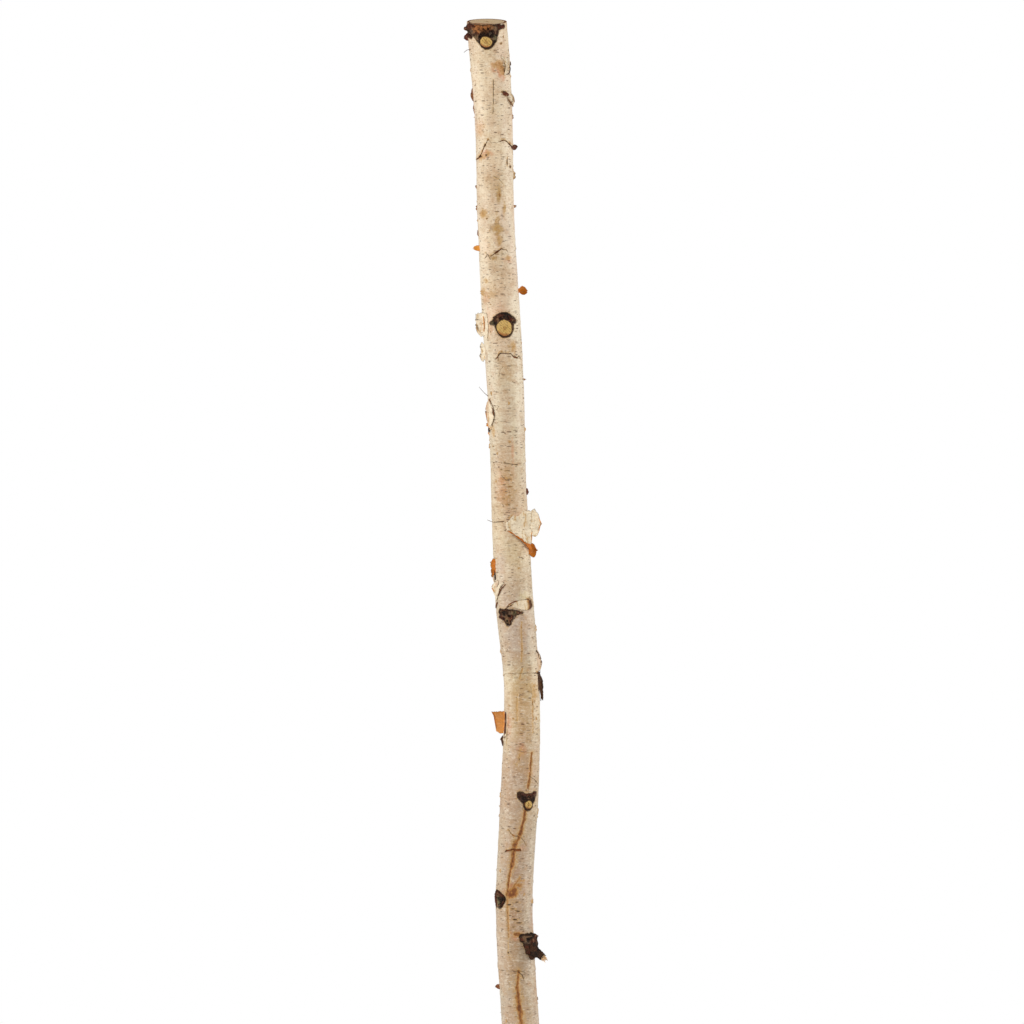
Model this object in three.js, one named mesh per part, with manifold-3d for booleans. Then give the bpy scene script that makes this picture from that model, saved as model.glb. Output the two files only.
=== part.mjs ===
// A natural birch pole: one length of young stem, sawn square at the foot and a little aslant at the
// top. It stands on its foot, +Z up, with the origin in the middle of the foot's cut face. -Y is the
// front, and an azimuth is measured in degrees from the front towards +X.
//
// The pole is built in the layers in which it would come apart: pith, wood, inner bark, papery outer
// bark in ring-shaped sheets, the knots where side branches were cut off, and the loose peels.
import * as THREE from "three";
import { mergeVertices } from "three/addons/utils/BufferGeometryUtils.js";
import Module from "manifold-3d";

// ---------------------------------------------------------------- driving dimensions, millimetres
const LENGTH = 1500;
const SIDES = 18; // round the stem
const STATION_STEP = 50; // between the rings of every layer along the stem
const TOP_SLOPE = 0.14; // rise of the top cut per millimetre from front to back
const GAP = 0.3; // between two layers that touch

// The centreline: height, sideways (x) and depth (y).
const BENDS = [
  [0, 0, 0],
  [150, -3, 1],
  [310, -13, 3],
  [427, -19.6, 4],
  [580, -12.4, 3],
  [700, -9.8, 1],
  [793, -18.4, -1],
  [950, -26.2, -4],
  [1063, -29.8, -4],
  [1160, -35.9, -3],
  [1276, -41.9, -1],
  [1392, -44.3, 2],
  [LENGTH, -52.2, 4],
];
// The radius over the bark: height and radius.
const GIRTHS = [
  [0, 24],
  [310, 23],
  [427, 22.3],
  [580, 23.3],
  [690, 21.6],
  [793, 23.4],
  [950, 21.5],
  [1135, 23.2],
  [1276, 22.3],
  [1392, 23],
  [1460, 24.4],
  [LENGTH, 24.2],
];

// The layers, as depths under the outside of the bark.
const SHEET_THICKNESS = 0.8;
const INNER_BARK_OUTSIDE = SHEET_THICKNESS + GAP;
const INNER_BARK_INSIDE = 2.3;
const WOOD_OUTSIDE = INNER_BARK_INSIDE + GAP;
const PITH_RADIUS = 1.5;
const PITH_SIDES = 6;
const KNOT_CORE_START = PITH_RADIUS + 1.6; // knots begin beside the pith

// Where one ring-shaped sheet of outer bark ends and the next begins.
const SEAMS = [0, 180, 357, 501, 628, 716, 796, 899, 969, 1102, 1225, 1355, LENGTH];

// The knots. width and tall are the rough bark's, notch is how deep its top edge dips between the two
// ears (a share of its height), cut is the sawn branch's radius or 0 where the knot has healed over,
// proud is how far the rough bark stands out, and below is how far under the middle the branch lies.
const KNOTS = [
  { name: "knot_top", height: 1485, azimuth: -12, width: 38, tall: 36, notch: 0, cut: 6.9, proud: 2.6, below: 8.5 },
  { name: "knot_upper", height: 1137, azimuth: 8, width: 27, tall: 32, notch: 0, cut: 9, proud: 1.8, below: 4 },
  { name: "knot_middle", height: 783, azimuth: -25, width: 20, tall: 18, notch: 0.15, cut: 0, proud: 1.6, below: 2 },
  { name: "knot_lower", height: 563, azimuth: 27, width: 23, tall: 23, notch: 0.3, cut: 4.6, proud: 1.6, below: 5 },
  { name: "knot_side", height: 444, azimuth: -54, width: 24, tall: 22, notch: 0.1, cut: 0, proud: 2.2, below: 2 },
  { name: "knot_back_high", height: 1262, azimuth: 160, width: 24, tall: 26, notch: 0.2, cut: 7, proud: 1.8, below: 4 },
  { name: "knot_back_low", height: 672, azimuth: -150, width: 22, tall: 24, notch: 0.25, cut: 5.5, proud: 1.8, below: 5 },
  { name: "knot_foot", height: 208, azimuth: -18, width: 25, tall: 27, notch: 0.15, cut: 7.5, proud: 1.8, below: 4 },
];
const BRANCH_DROP = 0.55; // a branch runs down this much per millimetre outwards
const BRANCH_TAPER = 0.5; // its radius beside the pith, as a share of its radius at the cut
const BRANCH_OVAL = 1.12; // its height over its width
const CUT_PROUD = 0.5; // the sawn end stands this far out of the rough bark
const BRANCH_SIDES = 12;

// The one side branch that was snapped off and not sawn, in the same terms as the knots. Its twig runs
// down and out of the rough bark: each row is a distance from the centreline, a height and a half width.
const TWIG = { name: "knot_twig", height: 388, azimuth: 49, width: 24, tall: 31, notch: 0.08, proud: 2 };
const TWIG_CORE = [[KNOT_CORE_START, 413, 2], [22, 393, 3.6], [30, 384, 3.5], [43, 374, 3.2], [49, 371, 1.2]];
const TWIG_BARK = [[20.5, 394.5, 7.4], [26, 388, 6.6], [34, 380, 5.2], [43, 374, 4.6]];

// The loose peels: strips of outer bark that leave the stem at an azimuth, towards the right (1) or the
// left (-1), rising from the surface by lift degrees and rolling outwards by curl degrees over their reach.
const PEEL_THICKNESS = 0.6;
const PEEL_STEPS = 6;
const PEEL_CLEARANCE = 0.45;
const PEELS = [
  { name: "peel_top_flake", height: 1481, azimuth: -80, side: -1, reach: 6, tall: 8, lift: 35, curl: 40 },
  { name: "peel_top_right", height: 1447, azimuth: 44, side: 1, reach: 12, tall: 13, lift: 12, curl: 100 },
  { name: "peel_rolled_right", height: 1409, azimuth: 58, side: 1, reach: 13, tall: 12, lift: 14, curl: 150 },
  { name: "peel_top_left", height: 1412, azimuth: -82, side: -1, reach: 5, tall: 16, lift: 25, curl: 30 },
  { name: "peel_lip_right", height: 1349, azimuth: 72, side: 1, reach: 7, tall: 7, lift: 15, curl: 80 },
  { name: "peel_chip_left", height: 1228, azimuth: -76, side: -1, reach: 8, tall: 7, lift: 35, curl: 30 },
  { name: "peel_orange_disc", height: 1177, azimuth: 82, side: 1, reach: 10.5, tall: 11, lift: 55, curl: 40 },
  { name: "peel_flake_left", height: 1136, azimuth: -70, side: -1, reach: 12, tall: 29, lift: 30, curl: 25 },
  { name: "peel_sliver_left", height: 1103, azimuth: -82, side: -1, reach: 7, tall: 24, lift: 35, curl: 20 },
  { name: "peel_flap_left", height: 1029, azimuth: -62, side: -1, reach: 12, tall: 38, lift: 20, curl: 25 },
  { name: "peel_sliver_right", height: 935, azimuth: 84, side: 1, reach: 3.5, tall: 8, lift: 30, curl: 20 },
  { name: "peel_big_sheet", height: 899, azimuth: -8, side: 1, reach: 43, tall: 33, lift: 2, curl: 12 },
  { name: "peel_big_tongue", height: 864, azimuth: 70, side: 1, reach: 11, tall: 18, lift: 22, curl: 60 },
  { name: "peel_curl_left", height: 843, azimuth: -68, side: -1, reach: 10, tall: 24, lift: 22, curl: 70 },
  { name: "peel_flap_low_left", height: 817, azimuth: -60, side: -1, reach: 8, tall: 20, lift: 14, curl: 30 },
  { name: "peel_band_middle", height: 802, azimuth: -4, side: 1, reach: 24, tall: 9, lift: 2, curl: 20 },
  { name: "peel_edge_right", height: 731, azimuth: 76, side: 1, reach: 6, tall: 25, lift: 15, curl: 20 },
  { name: "peel_dark_right", height: 698, azimuth: 72, side: 1, reach: 9, tall: 32, lift: 22, curl: 35 },
  { name: "peel_orange_tab", height: 656, azimuth: -80, side: -1, reach: 15, tall: 27, lift: 72, curl: 8 },
  { name: "peel_stalk_left", height: 634, azimuth: -84, side: -1, reach: 4, tall: 13, lift: 40, curl: 10 },
  { name: "peel_chip_foot", height: 336, azimuth: -84, side: -1, reach: 5, tall: 6, lift: 40, curl: 30 },
  { name: "peel_back_high", height: 1318, azimuth: 128, side: 1, reach: 20, tall: 20, lift: 10, curl: 130 },
  { name: "peel_back_middle", height: 1010, azimuth: -172, side: 1, reach: 24, tall: 26, lift: 8, curl: 60 },
  { name: "peel_back_low", height: 532, azimuth: 142, side: -1, reach: 18, tall: 22, lift: 12, curl: 110 },
  { name: "peel_foot_front", height: 128, azimuth: 30, side: 1, reach: 22, tall: 24, lift: 8, curl: 90 },
];

// ------------------------------------------------------------------------------------- materials
const looks = {
  wood: new THREE.MeshStandardMaterial({ color: "#e3c48d", roughness: 0.75 }),
  pith: new THREE.MeshStandardMaterial({ color: "#8a5a30", roughness: 0.9 }),
  innerBark: new THREE.MeshStandardMaterial({ color: "#a45f2d", roughness: 0.85 }),
  outerBark: new THREE.MeshStandardMaterial({ color: "#dccaa8", roughness: 0.65 }),
  knotBark: new THREE.MeshStandardMaterial({ color: "#3a271b", roughness: 0.9 }),
  peel: new THREE.MeshStandardMaterial({ color: "#d8a878", roughness: 0.65 }),
};

// --------------------------------------------------------------------------------- solid geometry
const wasm = await Module();
wasm.setup();

function solidOf(geometry) {
  const bare = new THREE.BufferGeometry().setIndex(geometry.index);
  bare.setAttribute("position", geometry.getAttribute("position"));
  const merged = mergeVertices(bare, 1e-3);
  return new wasm.Manifold(
    new wasm.Mesh({
      numProp: 3,
      vertProperties: merged.attributes.position.array,
      triVerts: new Uint32Array(merged.index.array),
    }),
  );
}

function geometryOf(solid) {
  const mesh = solid.getMesh();
  const geometry = new THREE.BufferGeometry();
  geometry.setAttribute("position", new THREE.BufferAttribute(mesh.vertProperties, 3));
  geometry.setIndex(new THREE.BufferAttribute(mesh.triVerts, 1));
  geometry.computeVertexNormals();
  return geometry;
}

// ---------------------------------------------------------------------------------- stem geometry
const bendCurve = new THREE.CubicInterpolant(
  BENDS.map((bend) => bend[0]),
  BENDS.flatMap((bend) => [bend[1], bend[2]]),
  2,
);
const girthCurve = new THREE.CubicInterpolant(
  GIRTHS.map((girth) => girth[0]),
  GIRTHS.map((girth) => girth[1]),
  1,
);
const stemRadius = (height) => girthCurve.evaluate(height)[0];

const stations = new Set(SEAMS);
for (let height = 0; height <= LENGTH; height += STATION_STEP) stations.add(height);

// The heights of a layer's rings between two ends.
function levels(low, high) {
  const between = [...stations].filter((height) => height > low + 2 && height < high - 2);
  return [low, ...between.sort((a, b) => a - b), high];
}

// Takes a geometry that was made round a straight vertical axis, with its face to the front, turns it
// to its azimuth and bends it along the stem's centreline. Only what ends at the top cut is slanted.
function alongStem(geometry, azimuth = 0) {
  geometry.rotateZ(THREE.MathUtils.degToRad(azimuth));
  const points = geometry.getAttribute("position");
  for (let i = 0; i < points.count; i++) {
    const height = points.getZ(i);
    const depth = points.getY(i);
    const [x, y] = bendCurve.evaluate(THREE.MathUtils.clamp(height, 0, LENGTH));
    const rise = height > LENGTH - 1e-3 ? TOP_SLOPE * depth : 0;
    points.setXYZ(i, points.getX(i) + x, depth + y, height + rise);
  }
  return geometry;
}

// A layer of the stem between two depths under the outside of the bark.
function sleeve(low, high, outside, inside) {
  const heights = levels(low, high);
  const profile = heights.map((z) => new THREE.Vector2(stemRadius(z) - outside, z));
  for (const z of [...heights].reverse()) profile.push(new THREE.Vector2(stemRadius(z) - inside, z));
  profile.push(profile[0].clone());
  return alongStem(new THREE.LatheGeometry(profile, SIDES).rotateX(Math.PI / 2));
}

// A rod down the middle of the stem. radiusAt gives its radius at a height.
function rod(low, high, radiusAt, sides) {
  const profile = levels(low, high).map((z) => new THREE.Vector2(radiusAt(z), z));
  profile.unshift(new THREE.Vector2(0, low));
  profile.push(new THREE.Vector2(0, high));
  return alongStem(new THREE.LatheGeometry(profile, sides).rotateX(Math.PI / 2));
}

// ---------------------------------------------------------------------------------- knot geometry
// The outline of a knot's rough bark, seen from outside: two ears above, rounded in to a point below.
function shield(knot, grow) {
  const w = knot.width / 2 + grow;
  const h = knot.tall / 2 + grow;
  const outline = new THREE.Shape();
  outline.moveTo(0, h * (1 - 2 * knot.notch));
  outline.lineTo(w * 0.72, h * 0.96);
  outline.lineTo(w, h * 0.62);
  outline.quadraticCurveTo(w * 0.98, -h * 0.3, w * 0.42, -h * 0.9);
  outline.lineTo(0, -h);
  outline.lineTo(-w * 0.42, -h * 0.9);
  outline.quadraticCurveTo(-w * 0.98, -h * 0.3, -w, h * 0.62);
  outline.lineTo(-w * 0.72, h * 0.96);
  outline.closePath();
  return outline;
}

// The shield pushed through the bark, from the front of the stem to beyond the wood's surface.
function shieldBlock(knot, grow) {
  const outer = 60;
  const block = new THREE.ExtrudeGeometry(shield(knot, grow), {
    depth: outer,
    bevelEnabled: false,
    curveSegments: 4,
  });
  block.rotateX(Math.PI / 2).translate(0, 0, knot.height);
  return solidOf(alongStem(block, knot.azimuth));
}

// A row of a branch moved out of its end by grow, along the slope towards its neighbour.
function grownRow([distance, height, half], neighbour, grow) {
  const outwards = Math.sign(distance - neighbour[0]) * grow;
  const slope = (height - neighbour[1]) / (distance - neighbour[0]);
  return [distance + outwards, height + slope * outwards, half + grow];
}

// A branch's wood or bark, made bigger by grow. rows are [distance from the centreline, height, half width].
function branch(rows, azimuth, grow) {
  const grown = rows.map(([distance, height, half]) => [distance, height, half + grow]);
  grown[0] = grownRow(rows[0], rows[1], grow);
  grown[rows.length - 1] = grownRow(rows.at(-1), rows.at(-2), grow);
  const profile = grown.map(([distance, , half]) => new THREE.Vector2(half, distance));
  profile.unshift(new THREE.Vector2(0, profile[0].y));
  profile.push(new THREE.Vector2(0, profile.at(-1).y));
  const lathe = new THREE.LatheGeometry(profile, BRANCH_SIDES); // runs outwards along +Y
  lathe.scale(1, -1, BRANCH_OVAL); // outwards is -Y at the front
  lathe.index.array.reverse(); // the mirroring turned the faces inwards
  const heightAt = new THREE.LinearInterpolant(
    grown.map((row) => row[0]),
    grown.map((row) => row[1]),
    1,
  );
  const points = lathe.getAttribute("position");
  for (let i = 0; i < points.count; i++) {
    points.setZ(i, points.getZ(i) + heightAt.evaluate(-points.getY(i))[0]);
  }
  return alongStem(lathe, azimuth);
}

function knotCore(knot) {
  const surface = stemRadius(knot.height);
  const end = knot.cut ? surface + knot.proud + CUT_PROUD : surface - WOOD_OUTSIDE - GAP;
  const half = knot.cut || knot.width * 0.22;
  const low = knot.height - knot.below;
  return [
    [KNOT_CORE_START, low + (end - KNOT_CORE_START) * BRANCH_DROP, half * BRANCH_TAPER],
    [end, low, half],
  ];
}

// ---------------------------------------------------------------------------------- peel geometry
function peelGeometry(peel) {
  const { height, azimuth, side, reach, tall, lift, curl } = peel;
  const widest = Math.max(...[-1, 0, 1].map((end) => stemRadius(height + (end * tall) / 2)));
  const near = [];
  const far = [];
  let x = 0;
  let y = -(widest + PEEL_CLEARANCE + PEEL_THICKNESS / 2);
  for (let i = 0; i <= PEEL_STEPS; i++) {
    const heading = THREE.MathUtils.degToRad(lift + (curl * i) / PEEL_STEPS);
    const across = new THREE.Vector2(-side * Math.sin(heading), -Math.cos(heading));
    across.multiplyScalar(PEEL_THICKNESS / 2);
    far.push(new THREE.Vector2(x, y).add(across));
    near.unshift(new THREE.Vector2(x, y).sub(across));
    x += (side * Math.cos(heading) * reach) / PEEL_STEPS;
    y -= (Math.sin(heading) * reach) / PEEL_STEPS;
  }
  const strip = new THREE.ExtrudeGeometry(new THREE.Shape([...far, ...near]), {
    depth: tall,
    bevelEnabled: false,
  });
  return alongStem(strip.translate(0, 0, height - tall / 2), azimuth);
}

// ----------------------------------------------------------------------------------- the assembly
const pole = new THREE.Group();

function addMesh(name, geometry, material) {
  const mesh = new THREE.Mesh(geometry, material);
  mesh.name = name;
  pole.add(mesh);
}

const trunk = solidOf(rod(0, LENGTH, (z) => stemRadius(z) - WOOD_OUTSIDE, SIDES));
const channel = solidOf(rod(-1, LENGTH + 1, () => PITH_RADIUS + GAP, PITH_SIDES));
let wood = trunk.subtract(channel);
let innerBark = solidOf(sleeve(0, LENGTH, INNER_BARK_OUTSIDE, INNER_BARK_INSIDE));
const sheets = SEAMS.slice(0, -1).map((seam, i) => {
  const low = seam + (i > 0 ? GAP / 2 : 0);
  const high = SEAMS[i + 1] - (i < SEAMS.length - 2 ? GAP / 2 : 0);
  return solidOf(sleeve(low, high, 0, SHEET_THICKNESS));
});

// A knot's rough bark: its shield, cut out of a shell that lies on the wood and follows the stem.
function roughBark(knot) {
  const ends = [...stations];
  const low = Math.max(...ends.filter((z) => z < knot.height - knot.tall / 2));
  const high = Math.min(...ends.filter((z) => z > knot.height + knot.tall / 2 || z === LENGTH));
  return solidOf(sleeve(low, high, -knot.proud, INNER_BARK_INSIDE)).intersect(shieldBlock(knot, 0));
}

// The branch's wood runs in a socket through the stem's wood, and the bark layers open round its rough bark.
function addKnot(knot, rough, opening, core) {
  const socket = solidOf(branch(core, knot.azimuth, GAP));
  wood = wood.subtract(socket);
  innerBark = innerBark.subtract(opening);
  sheets.forEach((sheet, i) => (sheets[i] = sheet.subtract(opening)));
  addMesh(`${knot.name}_wood`, branch(core, knot.azimuth, 0), looks.wood);
  addMesh(`${knot.name}_bark`, geometryOf(rough.subtract(socket)), looks.knotBark);
}

for (const knot of KNOTS) addKnot(knot, roughBark(knot), shieldBlock(knot, GAP), knotCore(knot));

const twigBark = solidOf(branch(TWIG_BARK, TWIG.azimuth, 0));
const twigRoom = solidOf(branch(TWIG_BARK, TWIG.azimuth, GAP));
wood = wood.subtract(twigRoom);
addKnot(TWIG, roughBark(TWIG).add(twigBark), shieldBlock(TWIG, GAP).add(twigRoom), TWIG_CORE);

addMesh("stem_wood", geometryOf(wood), looks.wood);
addMesh("pith", rod(0, LENGTH, () => PITH_RADIUS, PITH_SIDES), looks.pith);
addMesh("inner_bark", geometryOf(innerBark), looks.innerBark);
sheets.forEach((sheet, i) => {
  const number = String(i + 1).padStart(2, "0");
  addMesh(`outer_bark_${number}`, geometryOf(sheet), looks.outerBark);
});
for (const peel of PEELS) addMesh(peel.name, peelGeometry(peel), looks.peel);

export default pole;
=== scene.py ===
# The looks of a natural birch pole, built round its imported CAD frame.
#
# Lengths in this script are millimetres until a mesh is made, which is in metres. A place on the stem is
# an azimuth, counted from the front (-Y) towards the right (+X), a height, and how far out of the bark's
# mean surface it lies.
import itertools
import math
from collections import namedtuple

import bpy
import numpy as np
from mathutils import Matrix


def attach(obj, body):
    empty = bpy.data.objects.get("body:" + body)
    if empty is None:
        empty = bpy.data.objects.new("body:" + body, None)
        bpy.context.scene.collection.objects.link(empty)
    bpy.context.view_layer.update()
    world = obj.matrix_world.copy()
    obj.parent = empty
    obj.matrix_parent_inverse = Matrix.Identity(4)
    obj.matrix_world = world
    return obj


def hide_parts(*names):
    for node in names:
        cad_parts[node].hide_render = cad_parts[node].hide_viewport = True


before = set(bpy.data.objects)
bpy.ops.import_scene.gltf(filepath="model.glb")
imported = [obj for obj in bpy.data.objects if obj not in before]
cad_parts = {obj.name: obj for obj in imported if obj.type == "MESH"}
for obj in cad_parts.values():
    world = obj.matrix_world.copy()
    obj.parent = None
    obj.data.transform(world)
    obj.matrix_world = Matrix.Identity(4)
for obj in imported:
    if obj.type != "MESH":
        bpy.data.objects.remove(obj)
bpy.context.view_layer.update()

MM = 0.001
BODY = "root"


# ---- numbers
def srgb(red, green, blue):
    """A colour given as 0 to 255 on screen, as linear light."""
    share = np.array([red, green, blue]) / 255.0
    return np.where(share <= 0.04045, share / 12.92, ((share + 0.055) / 1.055) ** 2.4)


def step(low, high, value):
    """Rises smoothly from 0 at low to 1 at high."""
    t = np.clip((np.asarray(value, float) - low) / (high - low), 0, 1)
    return t * t * (3 - 2 * t)


def blend(first, second, share):
    """Each row of first mixed with the same row of second."""
    share = np.asarray(share)[..., None]
    return first * (1 - share) + second * share


def smooth(values, reach):
    """Evens out a row of values over reach places, and keeps its ends where they are."""
    half = 3 * reach
    kernel = np.exp(-0.5 * (np.arange(-half, half + 1) / reach) ** 2)
    before = 2 * values[0] - values[half:0:-1]
    after = 2 * values[-1] - values[-2:-half - 2:-1]
    return np.convolve(np.concatenate([before, values, after]), kernel / kernel.sum(), "valid")


def lattice(i, j, k, seed):
    """A repeatable random number from -1 to 1 at each whole-number point."""
    mixed = (i * 374761393 + j * 668265263 + k * 1440662683 + seed * 1274126177) & 0xFFFFFFFF
    mixed = ((mixed ^ (mixed >> 13)) * 1103515245) & 0xFFFFFFFF
    mixed = ((mixed ^ (mixed >> 15)) * 668265263) & 0xFFFFFFFF
    return ((mixed ^ (mixed >> 16)) & 0xFFFF) / 32767.5 - 1


def octave(points, seed):
    """One layer of noise: the lattice's numbers, blended smoothly between its points."""
    base = np.floor(points).astype(np.int64)
    part = points - base
    part = part * part * (3 - 2 * part)
    total = np.zeros(len(points))
    for corner in itertools.product((0, 1), repeat=3):
        x, y, z = (part[:, axis] if corner[axis] else 1 - part[:, axis] for axis in range(3))
        total += x * y * z * lattice(*(base + corner).T, seed)
    return total


def noise(points, size, seed, octaves=3):
    """Smooth noise, mostly from -1 to 1. size is its largest features' size along x, y and z."""
    shape = points.shape[:-1]
    scaled = points.reshape(-1, 3) / np.array(size, float)
    total = sum(octave(scaled * 2.0**n, seed * 31 + n) * 0.5**n for n in range(octaves))
    return (total * 0.9).reshape(shape)


# ---- the stem, from the frame
def corners(node):
    """A CAD node's points in millimetres."""
    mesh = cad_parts[node].data
    points = np.empty(len(mesh.vertices) * 3, np.float32)
    mesh.vertices.foreach_get("co", points)
    return points.reshape(-1, 3).astype(float) / MM


RING_GAP = 0.6  # two rings of a rod lie further apart than this


def rings(points):
    """The points of a rod in groups, one for each ring."""
    ordered = points[np.argsort(points[:, 2])]
    return np.split(ordered, np.flatnonzero(np.diff(ordered[:, 2]) > RING_GAP) + 1)


SHEETS = sorted(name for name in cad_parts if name.startswith("outer_bark_"))
RING_CENTRES = np.array([(ring.min(0) + ring.max(0)) / 2 for ring in rings(corners("pith"))])
ALL_BARK = np.vstack([corners(name) for name in SHEETS])
LENGTH = float(round(RING_CENTRES[-1, 2]))
PITH_RADIUS = float(np.ptp(rings(corners("pith"))[0][:, 1])) / 2
HIGHEST = max(corners("stem_wood"), key=lambda point: point[2])
TOP_SLOPE = float((HIGHEST[2] - LENGTH) / (HIGHEST[1] - RING_CENTRES[-1, 1]))


def ring_radius(centre):
    """The radius over the bark at one of the stem's rings."""
    away = abs(ALL_BARK[:, 2] - centre[2])
    near = ALL_BARK[away < away.min() + 0.1]
    return np.hypot(near[:, 0] - centre[0], near[:, 1] - centre[1]).max()


HEIGHTS = np.arange(0.0, LENGTH + 1)
EVENED = 14  # over how much of its height the stem's bends and girth are evened out
SLANTED = 50  # how far down from the top the slant of its cut still shows in the heights


def along_stem(values):
    """A value of each of the stem's rings, at every millimetre of height."""
    return smooth(np.interp(HEIGHTS, RING_CENTRES[:, 2], values), EVENED)


BEND = [along_stem(RING_CENTRES[:, axis]) for axis in (0, 1)]
GIRTH = along_stem([ring_radius(place) for place in RING_CENTRES])
MEAN_RADIUS = float(GIRTH.mean())


def centre(height):
    """Where the stem's middle lies at a height."""
    return np.interp(height, HEIGHTS, BEND[0]), np.interp(height, HEIGHTS, BEND[1])


def radius(height):
    """The stem's radius over its bark at a height."""
    return np.interp(height, HEIGHTS, GIRTH)


def on_stem(azimuth, height, out):
    """Points of the stem, with the top cut's slant worked in."""
    height = np.clip(height, 0, LENGTH)
    x, y = centre(height)
    reach = radius(height) + out
    depth = -reach * np.cos(azimuth)
    rise = TOP_SLOPE * depth * step(LENGTH - SLANTED, LENGTH, height)
    return np.stack([x + reach * np.sin(azimuth), y + depth, height + rise], -1)


def round_stem(azimuth, height):
    """Where a place lies on a straight stem, so that noise closes round it."""
    return np.stack([MEAN_RADIUS * np.sin(azimuth), -MEAN_RADIUS * np.cos(azimuth), height], -1)


def place_of(points):
    """The azimuths, distances from the centreline and heights of points."""
    x, y = centre(points[:, 2])
    east, depth = points[:, 0] - x, points[:, 1] - y
    return np.arctan2(east, -depth), np.hypot(east, depth), points[:, 2]


def turn(angle):
    """An angle between -pi and pi."""
    return (angle + math.pi) % (2 * math.pi) - math.pi


def circle(count):
    """The azimuths of count points, evenly round."""
    return np.arange(count) / count * 2 * math.pi


# ---- mesh making
def grid_faces(rows, columns, wrap_rows=False, wrap_columns=False):
    """The four-sided faces of a grid of points that is stored row by row."""
    i = np.arange(rows if wrap_rows else rows - 1)[:, None]
    j = np.arange(columns if wrap_columns else columns - 1)[None, :]
    up, along = (i + 1) % rows, (j + 1) % columns
    faces = [i * columns + j, i * columns + along, up * columns + along, up * columns + j]
    return np.stack(np.broadcast_arrays(*faces), -1).reshape(-1, 4)


def triangles(faces):
    """Four-sided faces, each split in two."""
    return np.concatenate([faces[:, [0, 1, 2]], faces[:, [0, 2, 3]]])


def outward(points, faces):
    """The faces of a closed mesh, turned to face outwards."""
    first = points[faces[:, 0]]
    volume = sum(
        (first * np.cross(points[faces[:, n]], points[faces[:, n + 1]])).sum()
        for n in range(1, faces.shape[1] - 1)
    )
    return faces[:, ::-1] if volume < 0 else faces


def mesh_object(name, points, faces, values):
    """A smooth mesh in metres. values are its per-point values: colours with three columns, or numbers."""
    faces = outward(points, faces)
    mesh = bpy.data.meshes.new(name)
    count = len(faces)
    mesh.vertices.add(len(points))
    mesh.vertices.foreach_set("co", (points * MM).astype(np.float32).ravel())
    mesh.loops.add(count * faces.shape[1])
    mesh.loops.foreach_set("vertex_index", faces.astype(np.int32).ravel())
    mesh.polygons.add(count)
    mesh.polygons.foreach_set("loop_start", np.arange(count, dtype=np.int32) * faces.shape[1])
    mesh.polygons.foreach_set("use_smooth", np.ones(count, bool))
    for key, value in values.items():
        value = np.asarray(value, np.float32)
        if value.ndim == 2:
            value = np.hstack([value, np.ones((len(value), 1), np.float32)])
            mesh.attributes.new(key, "FLOAT_COLOR", "POINT").data.foreach_set("color", value.ravel())
        else:
            mesh.attributes.new(key, "FLOAT", "POINT").data.foreach_set("value", value)
    mesh.validate()
    mesh.update()
    made = bpy.data.objects.new(name, mesh)
    bpy.context.scene.collection.objects.link(made)
    return made


def finish_piece(piece, material, slot, *nodes):
    """Gives a piece its material and its body, and hides the CAD nodes that it stands for."""
    piece.data.materials.append(material)
    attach(piece, BODY)
    if nodes:
        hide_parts(*nodes)
    return piece


class Parts:
    """Several closed meshes gathered into one."""

    def __init__(self):
        self.points, self.faces, self.values, self.count = [], [], {}, 0

    def add(self, points, faces, **values):
        self.points.append(points)
        self.faces.append(outward(points, faces) + self.count)
        self.count += len(points)
        for key, value in values.items():
            self.values.setdefault(key, []).append(value)

    def make(self, name):
        values = {key: np.concatenate(value) for key, value in self.values.items()}
        return mesh_object(name, np.concatenate(self.points), np.concatenate(self.faces), values)


def closed_tube(hoops):
    """Triangles over a row of hoops of points, with both ends closed by a fan."""
    count, sides = hoops.shape[:2]
    faces = grid_faces(count, sides, wrap_columns=True)
    here = np.arange(sides)
    ahead = (here + 1) % sides
    last = (count - 1) * sides
    fans = [
        np.stack([ahead, here, np.full(sides, count * sides)], -1),
        np.stack([last + here, last + ahead, np.full(sides, count * sides + 1)], -1),
    ]
    points = np.vstack([hoops.reshape(-1, 3), hoops[0].mean(0), hoops[-1].mean(0)])
    return points, np.concatenate([triangles(faces), *fans])


def plate(front, back, front_values, back_values):
    """A closed plate between two grids of points of the same shape (rows, columns, 3)."""
    rows, columns = front.shape[:2]
    count = rows * columns
    faces = grid_faces(rows, columns)
    edge = np.concatenate([
        np.arange(columns),
        np.arange(1, rows) * columns + columns - 1,
        (rows - 1) * columns + np.arange(columns - 2, -1, -1),
        np.arange(rows - 2, 0, -1) * columns,
    ])
    ahead = np.roll(edge, -1)
    rim = np.stack([ahead, edge, edge + count, ahead + count], -1)
    points = np.concatenate([front.reshape(-1, 3), back.reshape(-1, 3)])
    both = (front_values, back_values)
    values = {
        key: np.concatenate([face[key].reshape(count, *face[key].shape[2:]) for face in both])
        for key in front_values
    }
    return points, np.concatenate([faces, faces[:, ::-1] + count, rim]), values
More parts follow.
